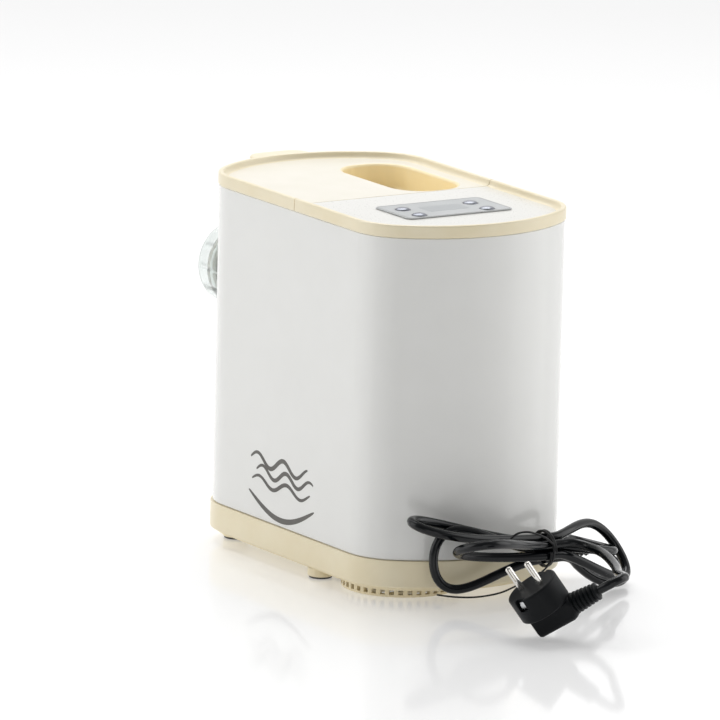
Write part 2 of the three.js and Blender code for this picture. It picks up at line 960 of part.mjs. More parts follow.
function controlBoard() {
  const bottom = controlBoardTop - boardThickness;
  const [width, length] = controlBoardSize;
  const [x, y] = overlayPlace;
  const plate = block(
    [x - width / 2, y - length / 2, bottom],
    [x + width / 2, y + length / 2, controlBoardTop],
  );
  const keys = buttonPlaces.flatMap(([a, b]) => {
    const top = controlBoardTop + keySwitchHeight;
    const body = block(
      [a - keySwitchHalf, b - keySwitchHalf, bottom],
      [a + keySwitchHalf, b + keySwitchHalf, top],
    );
    return [body, moved(uprightRod(keyTipRadius, bottom, top + keyTipHeight, smallSides), a, b)];
  });
  return join(plate, ...keys);
}

// Mixing bowl and extruder

// The trough's section: a half round below, flaring walls and upright ones on top
function troughShape(margin, top) {
  const shape = new THREE.Shape();
  shape.moveTo(bowlTopHalf + margin, top);
  shape.lineTo(-bowlTopHalf - margin, top);
  shape.lineTo(-bowlTopHalf - margin, bowlFlareHeight);
  shape.absarc(0, screwHeight, bowlRadius + margin, Math.PI, 2 * Math.PI);
  shape.lineTo(bowlTopHalf + margin, bowlFlareHeight);
  shape.closePath();
  return shape;
}

function mixingBowl() {
  const outside = common(
    lengthwise(troughShape(bowlWall, bowlTop), bowlFront - bowlWall, bowlRear + bowlWall),
    upright(outline(bowlInset), 0, bowlTop),
  );
  const inside = common(
    lengthwise(troughShape(0, bowlTop + overrun), bowlFront, bowlRear),
    upright(outline(bowlInset + bowlWall), 0, bowlTop + overrun),
  );
  const flange = common(
    upright(outline(shellInner + lipGap), bowlTop - flangeThickness, bowlTop),
    halfSpace(-bodyHalfLength, flangeRear),
  );
  const frontHole = moved(rod(barrelBore, bowlFront - overrun, bowlFront + sink), 0, 0, screwHeight);
  const rearHole = moved(rod(sealRadius + gap, bowlRear - sink, bowlRear + overrun), 0, 0, screwHeight);
  return cut(join(outside, flange), inside, frontHole, rearHole);
}

// The helical flight: a small section carried round the core
function flight() {
  const turns = (flightRear - screwFront - flightThickness) / flightPitch;
  const steps = Math.round(turns * flightStepsPerTurn);
  const inner = coreRadius - sink;
  const loops = [];
  for (let i = 0; i <= steps; i++) {
    const turn = (2 * Math.PI * turns * i) / steps;
    const along = screwFront + (turns * flightPitch * i) / steps;
    const at = (radius, y) =>
      new THREE.Vector3(radius * Math.cos(turn), y, radius * Math.sin(turn));
    loops.push([
      at(inner, along),
      at(flightRadius, along),
      at(flightRadius, along + flightThickness),
      at(inner, along + flightThickness),
    ]);
  }
  return skinned(loops);
}

function paddle(number) {
  const blade = block(
    [-paddleWidth / 2, -paddleThickness / 2, 0],
    [paddleWidth / 2, paddleThickness / 2, paddleReach],
  );
  blade.rotateZ(THREE.MathUtils.degToRad(paddleTwist));
  blade.rotateY((Math.PI / 2) * number);
  return moved(blade, 0, paddleFirst + paddleStep * number);
}

function hexRod(radius, from, to) {
  return lengthwise(polygonShape(6, radius), from, to);
}

function mixingScrew() {
  const core = turned([
    [0, screwFront],
    [coreRadius, screwFront],
    [coreRadius, bowlFront],
    [hubRadius, bowlFront + hubRadius],
    [hubRadius, screwRear - hexDepth - hubRadius],
    [socketHubRadius, screwRear - hexDepth - coreRadius],
    [socketHubRadius, screwRear],
    [0, screwRear],
  ], plainSides);
  const paddles = [];
  for (let i = 0; i < paddleCount; i++) paddles.push(paddle(i));
  const socket = hexRod(hexRadius + gap, screwRear - hexDepth, screwRear + overrun);
  return cut(join(core, flight(), ...paddles), socket);
}

// Sections of a ring between two places along Y, spaced evenly
function lugs(inner, outer, from, to, angle) {
  const made = [];
  for (let i = 0; i < lugCount; i++) {
    const middle = Math.PI / 2 + (2 * Math.PI * i) / lugCount;
    const half = THREE.MathUtils.degToRad(angle) / 2;
    made.push(lengthwise(sector(inner, outer, middle, half), from, to));
  }
  return made;
}

function extruderBarrel() {
  const flangeRear = bowlFront - bowlWall - gap;
  const flangeFront = flangeRear - barrelFlange;
  const tube = turned([
    [barrelBore, barrelFront],
    [barrelRadius, barrelFront],
    [barrelRadius, flangeFront],
    [barrelFlangeRadius, flangeFront],
    [barrelFlangeRadius, flangeRear],
    [barrelBore, flangeRear],
    [barrelBore, barrelFront],
  ]);
  const ears = lugs(barrelRadius - sink, lugReach, lugRear - lugLength, lugRear, lugAngle);
  return join(tube, ...ears);
}

function frontCollar() {
  return ring(barrelRadius + gap, collarRadius, collarFront, collarRear);
}

function dieDisc() {
  const rear = barrelFront - gap;
  const disc = rod(dieRadius, rear - dieThickness, rear);
  const holes = [rod(dieHoleRadius, rear - overrun, rear + sink, smallSides)];
  for (let i = 0; i < dieHoleCount; i++) {
    const turn = (2 * Math.PI * i) / dieHoleCount;
    const hole = rod(dieHoleRadius, rear - overrun, rear + sink, smallSides);
    holes.push(moved(hole, dieHoleCircle * Math.cos(turn), 0, dieHoleCircle * Math.sin(turn)));
  }
  return cut(disc, ...holes);
}

function extruderNut() {
  const seat = barrelFront - gap - dieThickness - gap;
  const cup = turned([
    [nutBore, nutRear],
    [nutRadius, nutRear],
    [nutRadius, nutFront],
    [nutBore, nutFront],
    [nutBore, seat - nutFlange],
    [nutMouthRadius, seat - nutFlange],
    [nutMouthRadius, seat],
    [nutBore, seat],
    [nutBore, nutRear],
  ]);
  const lugFront = lugRear + gap;
  const ears = lugs(nutLugBore, nutBore + sink, lugFront, lugFront + nutLugLength, lugAngle);
  return join(cup, ...ears);
}

function shaftSeal() {
  return ring(shaftRadius + gap, sealRadius, bowlRear, flangeRear, plainSides);
}

// Drive train

const layPlace = layShaftPlace();
const motorPoint = [motorPlace, motorHeight];
const outputPoint = [0, screwHeight];

// Where the intermediate gear meshes with the pinion below and the output gear above
function layShaftPlace() {
  const lower = (fineModule * (motorTeeth + wheelTeeth)) / 2;
  const upper = (coarseModule * (layTeeth + outputTeeth)) / 2;
  const between = Math.hypot(motorPlace, screwHeight - motorHeight);
  const along = (upper ** 2 - lower ** 2 + between ** 2) / (2 * between);
  const aside = Math.sqrt(upper ** 2 - along ** 2);
  const [unitX, unitZ] = [motorPlace / between, (motorHeight - screwHeight) / between];
  return [unitX * along - unitZ * aside, screwHeight + unitZ * along + unitX * aside];
}

function involute(angle) {
  return Math.tan(angle) - angle;
}

// A spur gear's outline, with one tooth pointing along the angle phase
function gearShape(teeth, size, phase, flankShares) {
  const pitchRadius = (teeth * size) / 2;
  const baseRadius = pitchRadius * Math.cos(pressureAngle);
  const tip = pitchRadius + size * tipShare;
  const root = pitchRadius - size * rootShare;
  const half = Math.PI / (2 * teeth) - toothPlay / (4 * pitchRadius) + involute(pressureAngle);
  const halfAt = (radius) => half - involute(Math.acos(Math.min(1, baseRadius / radius)));
  const radii = flankShares.map((share) => root + (tip - root) * share);
  const points = [];
  for (let i = 0; i < teeth; i++) {
    const middle = phase + (2 * Math.PI * i) / teeth;
    for (const side of [-1, 1]) {
      const order = side < 0 ? radii : [...radii].reverse();
      for (const radius of order) {
        const turn = middle + side * halfAt(radius);
        points.push(new THREE.Vector2(radius * Math.cos(turn), radius * Math.sin(turn)));
      }
    }
  }
  return new THREE.Shape(points);
}

function direction(from, to) {
  return Math.atan2(to[1] - from[1], to[0] - from[0]);
}

const lowerMesh = direction(motorPoint, layPlace);
const upperMesh = direction(layPlace, outputPoint);

function facingPhase(mesh, teeth) {
  return mesh + Math.PI + Math.PI / teeth;
}

function motorPinion() {
  const shape = gearShape(motorTeeth, fineModule, lowerMesh, pinionFlankShares);
  const body = lengthwise(shape, wheelFront - gearHubExtra / 2, wheelFront + wheelWidth + gearHubExtra / 2);
  return cut(body, rod(motorShaftRadius + gap, 0, cradleRear, smallSides));
}

function intermediateGear() {
  const wheelPhase = facingPhase(lowerMesh, wheelTeeth);
  const wheelShape = gearShape(wheelTeeth, fineModule, wheelPhase, wheelFlankShares);
  const wheel = lengthwise(wheelShape, wheelFront, wheelFront + wheelWidth);
  const pinionShape = gearShape(layTeeth, coarseModule, upperMesh, pinionFlankShares);
  const pinion = lengthwise(pinionShape, layPinionFront, wheelFront + sink);
  const hub = rod(axleRadius * 2, frameFront + frameThickness + gap, layHubRear, smallSides);
  return cut(join(wheel, pinion, hub), rod(axleRadius + gap, 0, cradleRear, smallSides));
}

function intermediateAxle() {
  return rod(axleRadius, frameFront, rearPlateFront + rearPlateThickness, smallSides);
}

function outputGear() {
  const phase = facingPhase(upperMesh, outputTeeth);
  const shape = gearShape(outputTeeth, coarseModule, phase, wheelFlankShares);
  const wheel = lengthwise(shape, outputGearFront, outputGearFront + outputGearWidth);
  const hubFront = outputGearFront - gearHubExtra;
  const hubRear = outputGearFront + outputGearWidth + gearHubExtra;
  const hub = rod(gearHubRadius, hubFront, hubRear, plainSides);
  return cut(join(wheel, hub), rod(shaftRadius + gap, 0, cradleRear, plainSides));
}

function outputShaft() {
  const hex = hexRod(hexRadius, screwRear - hexDepth + gap, screwRear + sink);
  return join(rod(shaftRadius, screwRear + gap, shaftRear, plainSides), hex);
}

function shaftBush(middle) {
  const half = bushLength / 2;
  return ring(shaftRadius + gap, bushRadius, middle - half, middle + half, plainSides);
}

function supportFrame() {
  const middle = (frameTop + baseFloorTop + gap) / 2;
  const half = (frameTop - baseFloorTop - gap) / 2;
  const foot = baseFloorTop + gap;
  const shape = roundedRectangle(0, middle, frameHalfWidth, half, frameCorner);
  const rear = frameFront + frameThickness;
  const plate = lengthwise(shape, frameFront, rear);
  const flat = block(
    [-frameHalfWidth, frameFront, foot],
    [frameHalfWidth, frameFront + frameFootLength, foot + frameFootThickness],
  );
  const web = block([-frameHalfWidth, frameFront, foot], [frameHalfWidth, rear, foot + frameCorner]);
  const holes = [
    moved(rod(bushRadius + gap, frameFront - overrun, rear + sink, plainSides), 0, 0, screwHeight),
    moved(rod(axleRadius + gap, frameFront - overrun, rear + sink, smallSides), layPlace[0], 0, layPlace[1]),
  ];
  const screws = baseScrewPlaces().slice(0, 2).map(([x, y]) =>
    moved(uprightRod(screwShankRadius + screwHoleGap, 0, foot + overrun, smallSides), x, y),
  );
  return cut(join(plate, flat, web), ...holes, ...screws);
}

function gearboxRearPlate() {
  const rear = rearPlateFront + rearPlateThickness;
  const bar = (from, to) => lengthwise(link(from, to, linkWidth), rearPlateFront, rear);
  const pillarPlaces = pillarsFromScrew.map(([x, rise]) => [x, screwHeight + rise]);
  const [upperLeft, upperRight, lowerLeft, lowerRight] = pillarPlaces;
  const pillars = pillarPlaces.map(([x, z]) =>
    moved(rod(pillarRadius, frameFront + frameThickness + gap, rear - sink, smallSides), x, 0, z),
  );
  const hubs = [
    moved(rod(bracketRadius * hubShare, rearPlateFront, rear, plainSides), motorPlace, 0, motorHeight),
    moved(rod(bushRadius * 2 * hubShare, rearPlateFront, rear, plainSides), 0, 0, screwHeight),
  ];
  const body = join(
    bar(upperLeft, outputPoint),
    bar(upperRight, outputPoint),
    bar(outputPoint, layPlace),
    bar(lowerLeft, layPlace),
    bar(lowerRight, layPlace),
    bar(layPlace, motorPoint),
    ...hubs,
    ...pillars,
  );
  const through = (radius, [x, z], sides) =>
    moved(rod(radius, rearPlateFront - sink, rear + sink, sides), x, 0, z);
  return cut(
    body,
    through(bushRadius + gap, outputPoint, plainSides),
    through(axleRadius + gap, layPlace, smallSides),
    through(motorShaftRadius * 2, motorPoint, plainSides),
  );
}

// Motor, about its own axis

const bracketFront = rearPlateFront + rearPlateThickness + gap;

function motorRotor() {
  return turned([
    [0, motorShaftFront],
    [motorShaftRadius, motorShaftFront],
    [motorShaftRadius, armatureFront],
    [armatureRadius, armatureFront],
    [armatureRadius, armatureRear],
    [motorShaftRadius * 2, armatureRear],
    [motorShaftRadius * 2, commutatorFront],
    [commutatorRadius, commutatorFront],
    [commutatorRadius, commutatorRear],
    [motorShaftRadius, commutatorRear],
    [motorShaftRadius, motorShaftRear],
    [0, motorShaftRear],
  ], plainSides);
}

function windingShape(inner, margin, side) {
  const half = THREE.MathUtils.degToRad(windingHalfAngle) + margin / inner;
  return sector(inner, windingOuter + margin, side < 0 ? Math.PI : 0, half);
}

function motorStator() {
  const body = lengthwise(roundedRectangle(0, 0, statorHalf, statorHalf, statorCorner), statorFront, statorRear);
  const rooms = [-1, 1].map((side) =>
    lengthwise(windingShape(armatureRadius, gap, side), statorFront - sink, statorRear + sink),
  );
  const bore = rod(statorBore, statorFront - sink, statorRear + sink, plainSides);
  return cut(body, bore, ...rooms);
}

function fieldWinding(side) {
  return lengthwise(windingShape(windingInner, 0, side), windingFront, windingRear);
}

function frontBracket() {
  const plateRear = bracketFront + bracketWall;
  return turned([
    [motorShaftRadius + gap, bracketFront],
    [bracketRadius, bracketFront],
    [bracketRadius, statorFront - gap],
    [bracketRadius - bracketWall + gap, statorFront - gap],
    [bracketRadius - bracketWall + gap, plateRear],
    [bracketBossRadius, plateRear],
    [bracketBossRadius, plateRear + bracketBossLength / 2],
    [motorShaftRadius + gap, plateRear + bracketBossLength / 2],
    [motorShaftRadius + gap, bracketFront],
  ]);
}

function rearBracket() {
  const plateFront = rearBracketEnd - bracketWall;
  const hollow = bracketRadius - bracketWall + gap;
  return turned([
    [motorShaftRadius + gap, plateFront],
    [hollow, plateFront],
    [hollow, statorRear + gap],
    [bracketRadius, statorRear + gap],
    [bracketRadius, rearBracketEnd],
    [motorShaftRadius + gap, rearBracketEnd],
    [motorShaftRadius + gap, plateFront],
  ]);
}

function brush(side) {
  const [near, far] = [side * brushInner, side * brushOuter];
  const from = commutatorFront + gap;
  const to = commutatorRear - gap;
  return block([Math.min(near, far), from, -brushHalf], [Math.max(near, far), to, brushHalf]);
}

function motorFan() {
  const disc = rod(fanRadius, fanFront, fanFront + fanDisc, plainSides);
  const hub = rod(fanHubRadius, fanFront, fanFront + fanDepth, smallSides);
  const blades = [];
  for (let i = 0; i < bladeCount; i++) {
    const blade = block(
      [fanHubRadius - sink, fanFront + fanDisc - sink, -bladeThickness / 2],
      [fanRadius - sink, fanFront + fanDepth, bladeThickness / 2],
    );
    blade.rotateY((2 * Math.PI * i) / bladeCount);
    blades.push(blade);
  }
  const bore = rod(motorShaftRadius + gap, 0, cradleRear + overrun, smallSides);
  return cut(join(disc, hub, ...blades), bore);
}

function motorCradle() {
  const foot = baseFloorTop + gap;
  const strip = foot + cradleRise;
  const [left, right] = [motorPlace - cradleHalfWidth, motorPlace + cradleHalfWidth];
  const bottom = block([left, cradleFront, strip], [right, cradleRear, strip + cradleStrip]);
  const pads = [cradleFront, cradleRear - cradlePad].map((from) =>
    block([left, from, foot], [right, from + cradlePad, strip + sink]),
  );
  const webTop = motorHeight - statorHalf - gap;
  const webs = [left, right - cradleStrip].map((from) =>
    block([from, statorFront, strip], [from + cradleStrip, statorRear, webTop]),
  );
  const screws = baseScrewPlaces().slice(2).map(([x, y]) =>
    moved(uprightRod(screwShankRadius + screwHoleGap, 0, strip + overrun, smallSides), x, y),
  );
  return cut(join(bottom, ...pads, ...webs), ...screws);
}

// Mains board and its large parts

function mainsBoard() {
  const [x, y] = mainsPlace;
  const [width, length] = mainsSize;
  return block(
    [x - width / 2, y - length / 2, mainsHeight],
    [x + width / 2, y + length / 2, mainsHeight + boardThickness],
  );
}

function onMainsBoard([x, y], size) {
  const bottom = mainsHeight + boardThickness + gap;
  return block(
    [x - size.x / 2, y - size.y / 2, bottom],
    [x + size.x / 2, y + size.y / 2, bottom + size.z],
  );
}

// Mains lead with its strain relief, hank, tie and plug

const reliefSurface = cornerRadius + baseProud;
const reliefMiddle = [bodyHalfWidth - cornerRadius, bodyHalfLength - endDepth];

// Turns a piece about the Y axis into the line of the strain relief
function towardsRelief(geometry) {
  geometry.rotateZ(reliefTurn - Math.PI / 2);
  return moved(geometry, -reliefMiddle[0], reliefMiddle[1], reliefHeight);
}

function reliefPoint(reach) {
  return new THREE.Vector3(
    -reliefMiddle[0] + reach * Math.cos(reliefTurn),
    reliefMiddle[1] + reach * Math.sin(reliefTurn),
    reliefHeight,
  );
}

function reliefHole() {
  const inside = reliefSurface - overrun;
  return towardsRelief(rod(reliefNeck + reliefSeat, inside, reliefSurface + overrun, plainSides));
}

const reliefEnd = reliefSurface + reliefSeat + reliefReach;

function strainRelief() {
  const wallInside = reliefSurface - baseWall - reliefInnerSeat;
  const seat = reliefSurface + reliefSeat;
  const outline = [
    [0, wallInside - reliefFlange],
    [reliefFlangeRadius, wallInside - reliefFlange],
    [reliefFlangeRadius, wallInside],
    [reliefNeck, wallInside],
    [reliefNeck, seat],
    [reliefRoot, seat],
    [reliefTip, reliefEnd],
    [0, reliefEnd],
  ];
  return towardsRelief(turned(outline, plainSides));
}

function tube(points, sides, steps) {
  const path = new THREE.CatmullRomCurve3(points);
  const section = polygonShape(sides, leadRadius);
  return new THREE.ExtrudeGeometry(section, { steps, extrudePath: path, bevelEnabled: false });
}

function vectors(route) {
  return route.map((place) => new THREE.Vector3(...place));
}

// A strand's place in the bundle, on one side of the tie
function strandPoint(name, side, margin = 0) {
  const turn = THREE.MathUtils.degToRad(strandTurns[name] ?? 0);
  const reach = name === "middle" ? 0 : strandPitch;
  const x = waist[0] + side * (waistHalf + margin);
  return new THREE.Vector3(x, waist[1] + reach * Math.cos(turn), waist[2] + reach * Math.sin(turn));
}

// A point of a loop: out from the waist to its tip and back, open in its middle
function loopPoint(loop, share) {
  const turn = Math.PI * share;
  const out = Math.max(0, Math.sin(turn));
  const opening = Math.sin(2 * turn) * out ** loop.ease;
  const [x, y, z] = loop.open.map((size) => size * opening);
  const point = strandPoint(loop.from, loop.side);
  point.lerp(strandPoint(loop.to, loop.side), (1 - Math.cos(turn)) / 2);
  point.x += loop.tip[0] * out + x;
  point.y += loop.tip[1] * out ** tipEase + y;
  point.z += loop.tip[2] * out ** tipEase + z;
  return point;
}

function hankPoints() {
  const first = loops[0];
  const last = loops[loops.length - 1];
  const points = [strandPoint(first.from, -first.side)];
  for (const loop of loops) {
    for (let i = 0; i <= loopSteps; i++) points.push(loopPoint(loop, i / loopSteps));
  }
  points.push(strandPoint(last.to, -last.side));
  return points;
}

// The least gap between strands of the hank, measured on points along it
function leastGap(points) {
  const path = new THREE.CatmullRomCurve3(points);
  const samples = path.getSpacedPoints(gapSamples);
  const apart = Math.ceil((6 * leadRadius * gapSamples) / path.getLength());
  let least = Infinity;
  for (let i = 0; i < samples.length; i++) {
    for (let j = i + apart; j < samples.length; j++) {
      least = Math.min(least, samples[i].distanceTo(samples[j]));
    }
  }
  return least - 2 * leadRadius;
}

function cordHank() {
  const points = hankPoints();
  console.log("least gap of the hank to itself", leastGap(points).toFixed(2), "mm");
  return tube(points, hankSides, loops.length * loopSteps);
}

function cordLead() {
  const start = reliefPoint(reliefEnd + leadGap);
  const straight = reliefPoint(reliefEnd + leadGap + 2 * leadRadius);
  const end = strandPoint(loops[0].from, -loops[0].side, gap);
  return tube([start, straight, ...vectors(leadRoute), end], leadSides, leadSteps);
}

function bootPoint(reach) {
  return new THREE.Vector3(reach, 0, -plugArmDepth).applyMatrix4(plugFrame());
}

function cordPlugLead() {
  const last = loops[loops.length - 1];
  const start = strandPoint(last.to, -last.side, gap);
  const straight = bootPoint(plugBootEnd + leadGap + 2 * leadRadius);
  const end = bootPoint(plugBootEnd + leadGap);
  return tube([start, ...vectors(plugRoute), straight, end], leadSides, leadSteps);
}

function cordTie() {
  const inner = strandPitch + leadRadius + 2 * gap;
  const band = ring(inner, inner + tieThickness, -tieWidth / 2, tieWidth / 2, plainSides);
  band.rotateZ(Math.PI / 2);
  return moved(band, ...waist);
}

function plugFrame() {
  const pins = new THREE.Vector3(...plugPinsAlong).normalize();
  const aside = pins.clone().cross(new THREE.Vector3(...plugArmAlong)).normalize();
  const arm = aside.clone().cross(pins);
  return new THREE.Matrix4().makeBasis(arm, aside, pins).setPosition(...plugPlace);
}

function plugBody() {
  const face = uprightRod(plugRadius, -plugDepth, 0);
  const [under, over] = [-plugArmDepth - plugBodyHalf, -plugArmDepth + plugBodyHalf];
  const body = block([plugBodyRear, -plugBodyHalf, under], [plugBodyFront, plugBodyHalf, over]);
  const boot = turned(
    [
      [0, plugBodyFront - sink],
      [plugBodyHalf, plugBodyFront - sink],
      [plugBootRadius, plugBootEnd],
      [0, plugBootEnd],
    ],
    plugBootSides,
  );
  boot.rotateZ(-Math.PI / 2);
  return join(face, body, moved(boot, 0, 0, -plugArmDepth)).applyMatrix4(plugFrame());
}

function plugPin(side) {
  const pin = uprightRod(pinRadius, gap, pinLength, smallSides);
  const reach = (side * pinSpacing) / 2;
  return moved(pin, reach * Math.cos(pinTurn), reach * Math.sin(pinTurn)).applyMatrix4(plugFrame());
}

// The assembly

function finishOf(name) {
  return new THREE.MeshStandardMaterial(finishes[name]);
}

function piece(name, geometry, finish) {
  const mesh = new THREE.Mesh(geometry, finishOf(finish));
  mesh.name = name;
  return mesh;
}

function group(place, ...members) {
  const made = new THREE.Group();
  made.position.set(...place);
  made.add(...members);
  return made;
}

function housing() {
  const feet = Object.entries(footPlaces).map(([place, [x, y]]) =>
    group([x, y, 0], piece("foot_" + place, foot(), "creamPlastic")),
  );
  const screws = baseScrewPlaces().map(([x, y], i) =>
    group([x, y, 0], piece("base_screw_" + (i + 1), baseScrew(), "steel")),
  );
  return group(
    [0, 0, 0],
    piece("body_shell", bodyShell(), "whitePlastic"),
    piece("base_tray", baseTray(), "creamPlastic"),
    piece("base_vent_ring", baseVentRing(), "creamPlastic"),
    ...feet,
    ...screws,
  );
}

function cover() {
  return group(
    [0, 0, 0],
    piece("lid", lid(), "paleCream"),
    piece("lid_seal", lidSeal(), "rubber"),
    piece("lid_magnet", lidMagnet(), "steel"),
  );
}

function deck() {
  const buttons = buttonPlaces.map(([x, y], i) =>
    group([x, y, 0], piece("button_" + (i + 1), button(), "buttonMetal")),
  );
  return group(
    [0, 0, 0],
    piece("rear_deck", rearDeck(), "paleCream"),
    piece("lid_sensor", lidSensor(), "blackPlastic"),
    piece("control_overlay", controlOverlay(), "silverPanel"),
    piece("display_window", displayWindow(), "darkWindow"),
    piece("control_board", controlBoard(), "board"),
    ...buttons,
  );
}

function extruder() {
  return group(
    [0, 0, screwHeight],
    piece("mixing_screw", mixingScrew(), "nylon"),
    piece("extruder_barrel", extruderBarrel(), "whitePlastic"),
    piece("front_collar", frontCollar(), "creamPlastic"),
    piece("die_disc", dieDisc(), "bronze"),
    piece("extruder_nut", extruderNut(), "clearPlastic"),
    piece("shaft_seal", shaftSeal(), "rubber"),
    piece("output_shaft", outputShaft(), "steel"),
    piece("output_gear", outputGear(), "nylon"),
    piece("front_bush", shaftBush(frameFront + frameThickness / 2), "bronze"),
    piece("rear_bush", shaftBush(rearPlateFront + rearPlateThickness / 2), "bronze"),
  );
}

function motor() {
  return group(
    [motorPlace, 0, motorHeight],
    piece("motor_pinion", motorPinion(), "steel"),
    piece("motor_rotor", motorRotor(), "steel"),
    piece("motor_stator", motorStator(), "aluminium"),
    piece("field_winding_left", fieldWinding(-1), "copper"),
    piece("field_winding_right", fieldWinding(1), "copper"),
    piece("motor_front_bracket", frontBracket(), "aluminium"),
    piece("motor_rear_bracket", rearBracket(), "aluminium"),
    piece("brush_left", brush(-1), "blackPlastic"),
    piece("brush_right", brush(1), "blackPlastic"),
    piece("motor_fan", motorFan(), "nylon"),
  );
}

function gearbox() {
  return group(
    [0, 0, 0],
    piece("support_frame", supportFrame(), "aluminium"),
    piece("gearbox_rear_plate", gearboxRearPlate(), "aluminium"),
    piece("motor_cradle", motorCradle(), "steel"),
    group(
      [layPlace[0], 0, layPlace[1]],
      piece("intermediate_gear", intermediateGear(), "nylon"),
      piece("intermediate_axle", intermediateAxle(), "steel"),
    ),
  );
}

function electronics() {
  return group(
    [0, 0, 0],
    piece("mains_board", mainsBoard(), "board"),
    piece("filter_capacitor", onMainsBoard(capacitorPlace, capacitorSize), "blackPlastic"),
    piece("transformer", onMainsBoard(transformerPlace, transformerSize), "steel"),
  );
}

function mainsLead() {
  return group(
    [0, 0, 0],
    piece("strain_relief", strainRelief(), "blackPlastic"),
    piece("cord_lead", cordLead(), "blackCord"),
    piece("cord_hank", cordHank(), "blackCord"),
    piece("cord_tie", cordTie(), "blackPlastic"),
    piece("cord_plug_lead", cordPlugLead(), "blackCord"),
    piece("plug_body", plugBody(), "blackPlastic"),
    piece("plug_pin_left", plugPin(-1), "nickel"),
    piece("plug_pin_right", plugPin(1), "nickel"),
  );
}

const rearReach = bodyHalfLength + baseProud;
const middleOfReach = (rearReach + nutFront) / 2;
const pastaMaker = group(
  [0, -middleOfReach, 0],
  housing(),
  piece("mixing_bowl", mixingBowl(), "clearPlastic"),
  cover(),
  deck(),
  extruder(),
  gearbox(),
  motor(),
  electronics(),
  mainsLead(),
);

export default pastaMaker;
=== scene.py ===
import math

import bmesh
import bpy
from mathutils import Matrix, Vector


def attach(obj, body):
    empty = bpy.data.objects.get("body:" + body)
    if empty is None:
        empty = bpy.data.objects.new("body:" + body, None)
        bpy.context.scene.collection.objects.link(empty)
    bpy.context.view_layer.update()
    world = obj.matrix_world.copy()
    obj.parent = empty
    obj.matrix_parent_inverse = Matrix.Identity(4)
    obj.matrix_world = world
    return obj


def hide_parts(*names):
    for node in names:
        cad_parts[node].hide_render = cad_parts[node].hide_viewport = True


# An electric pasta maker with a tied mains lead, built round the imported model.
# Lengths are in millimetres from the middle of the body's plan, with the floor at
# z = 0. frame_point() turns them into metres of the shared frame.

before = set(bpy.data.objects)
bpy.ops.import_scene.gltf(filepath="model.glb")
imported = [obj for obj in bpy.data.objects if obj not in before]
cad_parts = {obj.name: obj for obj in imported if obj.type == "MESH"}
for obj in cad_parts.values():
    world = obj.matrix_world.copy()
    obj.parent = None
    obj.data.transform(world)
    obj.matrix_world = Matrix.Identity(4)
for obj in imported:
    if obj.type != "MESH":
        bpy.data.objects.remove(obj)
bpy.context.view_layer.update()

MM = 0.001
MIDDLE = -34.85

# The photograph's camera
AIM = (16.75, -10.6, 148.35)
CAMERA_BACK = (0.5232, 0.8269, 0.206)
CAMERA_RIGHT = (-0.8475, 0.5303, 0.0234)
CAMERA_DISTANCE = 8000
LENS = 547.9
SENSOR = 36
# In metres
CAMERA_CLIP = 100

# Body outline in plan
BODY_HALF_WIDTH = 86
BODY_HALF_LENGTH = 146.5
CORNER_RADIUS = 44
END_DEPTH = 58
CORNER_STEPS = 12
END_STEPS = 32
QUARTER_STEPS = 5

# Heights of the housing
SKIRT_BOTTOM = 11
BASE_SEAM = 31.2
BAND_BOTTOM = 267.8
RIM_TOP = 277
FACE = 272.5
# Between neighbouring pieces
GAP = 0.3
# How far a cutting piece passes the face it cuts
PAST = 2
# How far a joined piece reaches into its neighbour, and a slot's block past the wall
LAP = 1
# Reach of the blocks that cut the lid, its rib and the deck to length
CUT_SIDE = 106
CUT_END = 200
CUT_LOW = 200
CUT_HIGH = 300
# Places between which the cores of the round holes run
MOUTH_CORE = (-200, -120)
VENT_CORE = (0, 20)
DECK_CORE = (250, 300)
PANEL_CORE = (270, 280)
DIE_CORE = (-210, -190)

# Shell, pan and tab
SHELL_INSET = 0.8
SHELL_INNER = 3.4
SHELL_EDGE = 0.5
CEILING = 270.1
LIP_OUTER = 3.9
LIP_INNER = 5.7
LIP_DEPTH = 5
RIM_WIDTH = 4
RIM_ROUND = 1.4
RIM_FILLET = 3.2
SEAM = 5
SEAM_GAP = 0.7
TAB_WIDTH = 50
TAB_REACH = 20
TAB_TOP = 275
TAB_THICKNESS = 4.5
TAB_CORNER = 14
TAB_EDGE = 1.4
RIB_INSET = 8
RIB_THICKNESS = 2
RIB_BOTTOM = 249.3
RIB_REAR = 2.9

# Filling well
WELL_X = -40
WELL_WIDTH = 53
WELL_FRONT = -104.5
WELL_REAR = 1.5
WELL_CORNER = 23
WELL_DEPTH = 20.5
WELL_WALL = 2
WELL_FILLET = 5
WELL_ROUND = 2.2
WELL_STEPS = 16
WELL_CORE_TOP = 297
SLOT_WIDTH = 4
SLOT_LENGTH = 34
SLOT_COUNT = 4

# Base
BASE_PROUD = 0.8
BASE_WALL = 3
BASE_EDGE = 1.2
FLOOR_INSET = 4.6
FLOOR_BOTTOM = 8
FLOOR_TOP = 13
VENT_PLACE = (34, 78)
VENT_HOLE = 41.3
FOOT_RADIUS = 9.5
FOOT_TOP = 7.7
FOOT_PAD = 1.5
FOOT_EDGE = 0.6
PAD_INSET = 1
PAD_TOE = 1.8
PAD_EDGE = 0.5
FOOT_PLACES = {
    "foot_front_left": (-60, -108),
    "foot_front_right": (60, -108),
    "foot_rear_left": (-52, 96),
    "foot_rear_right": (72, 30),
}

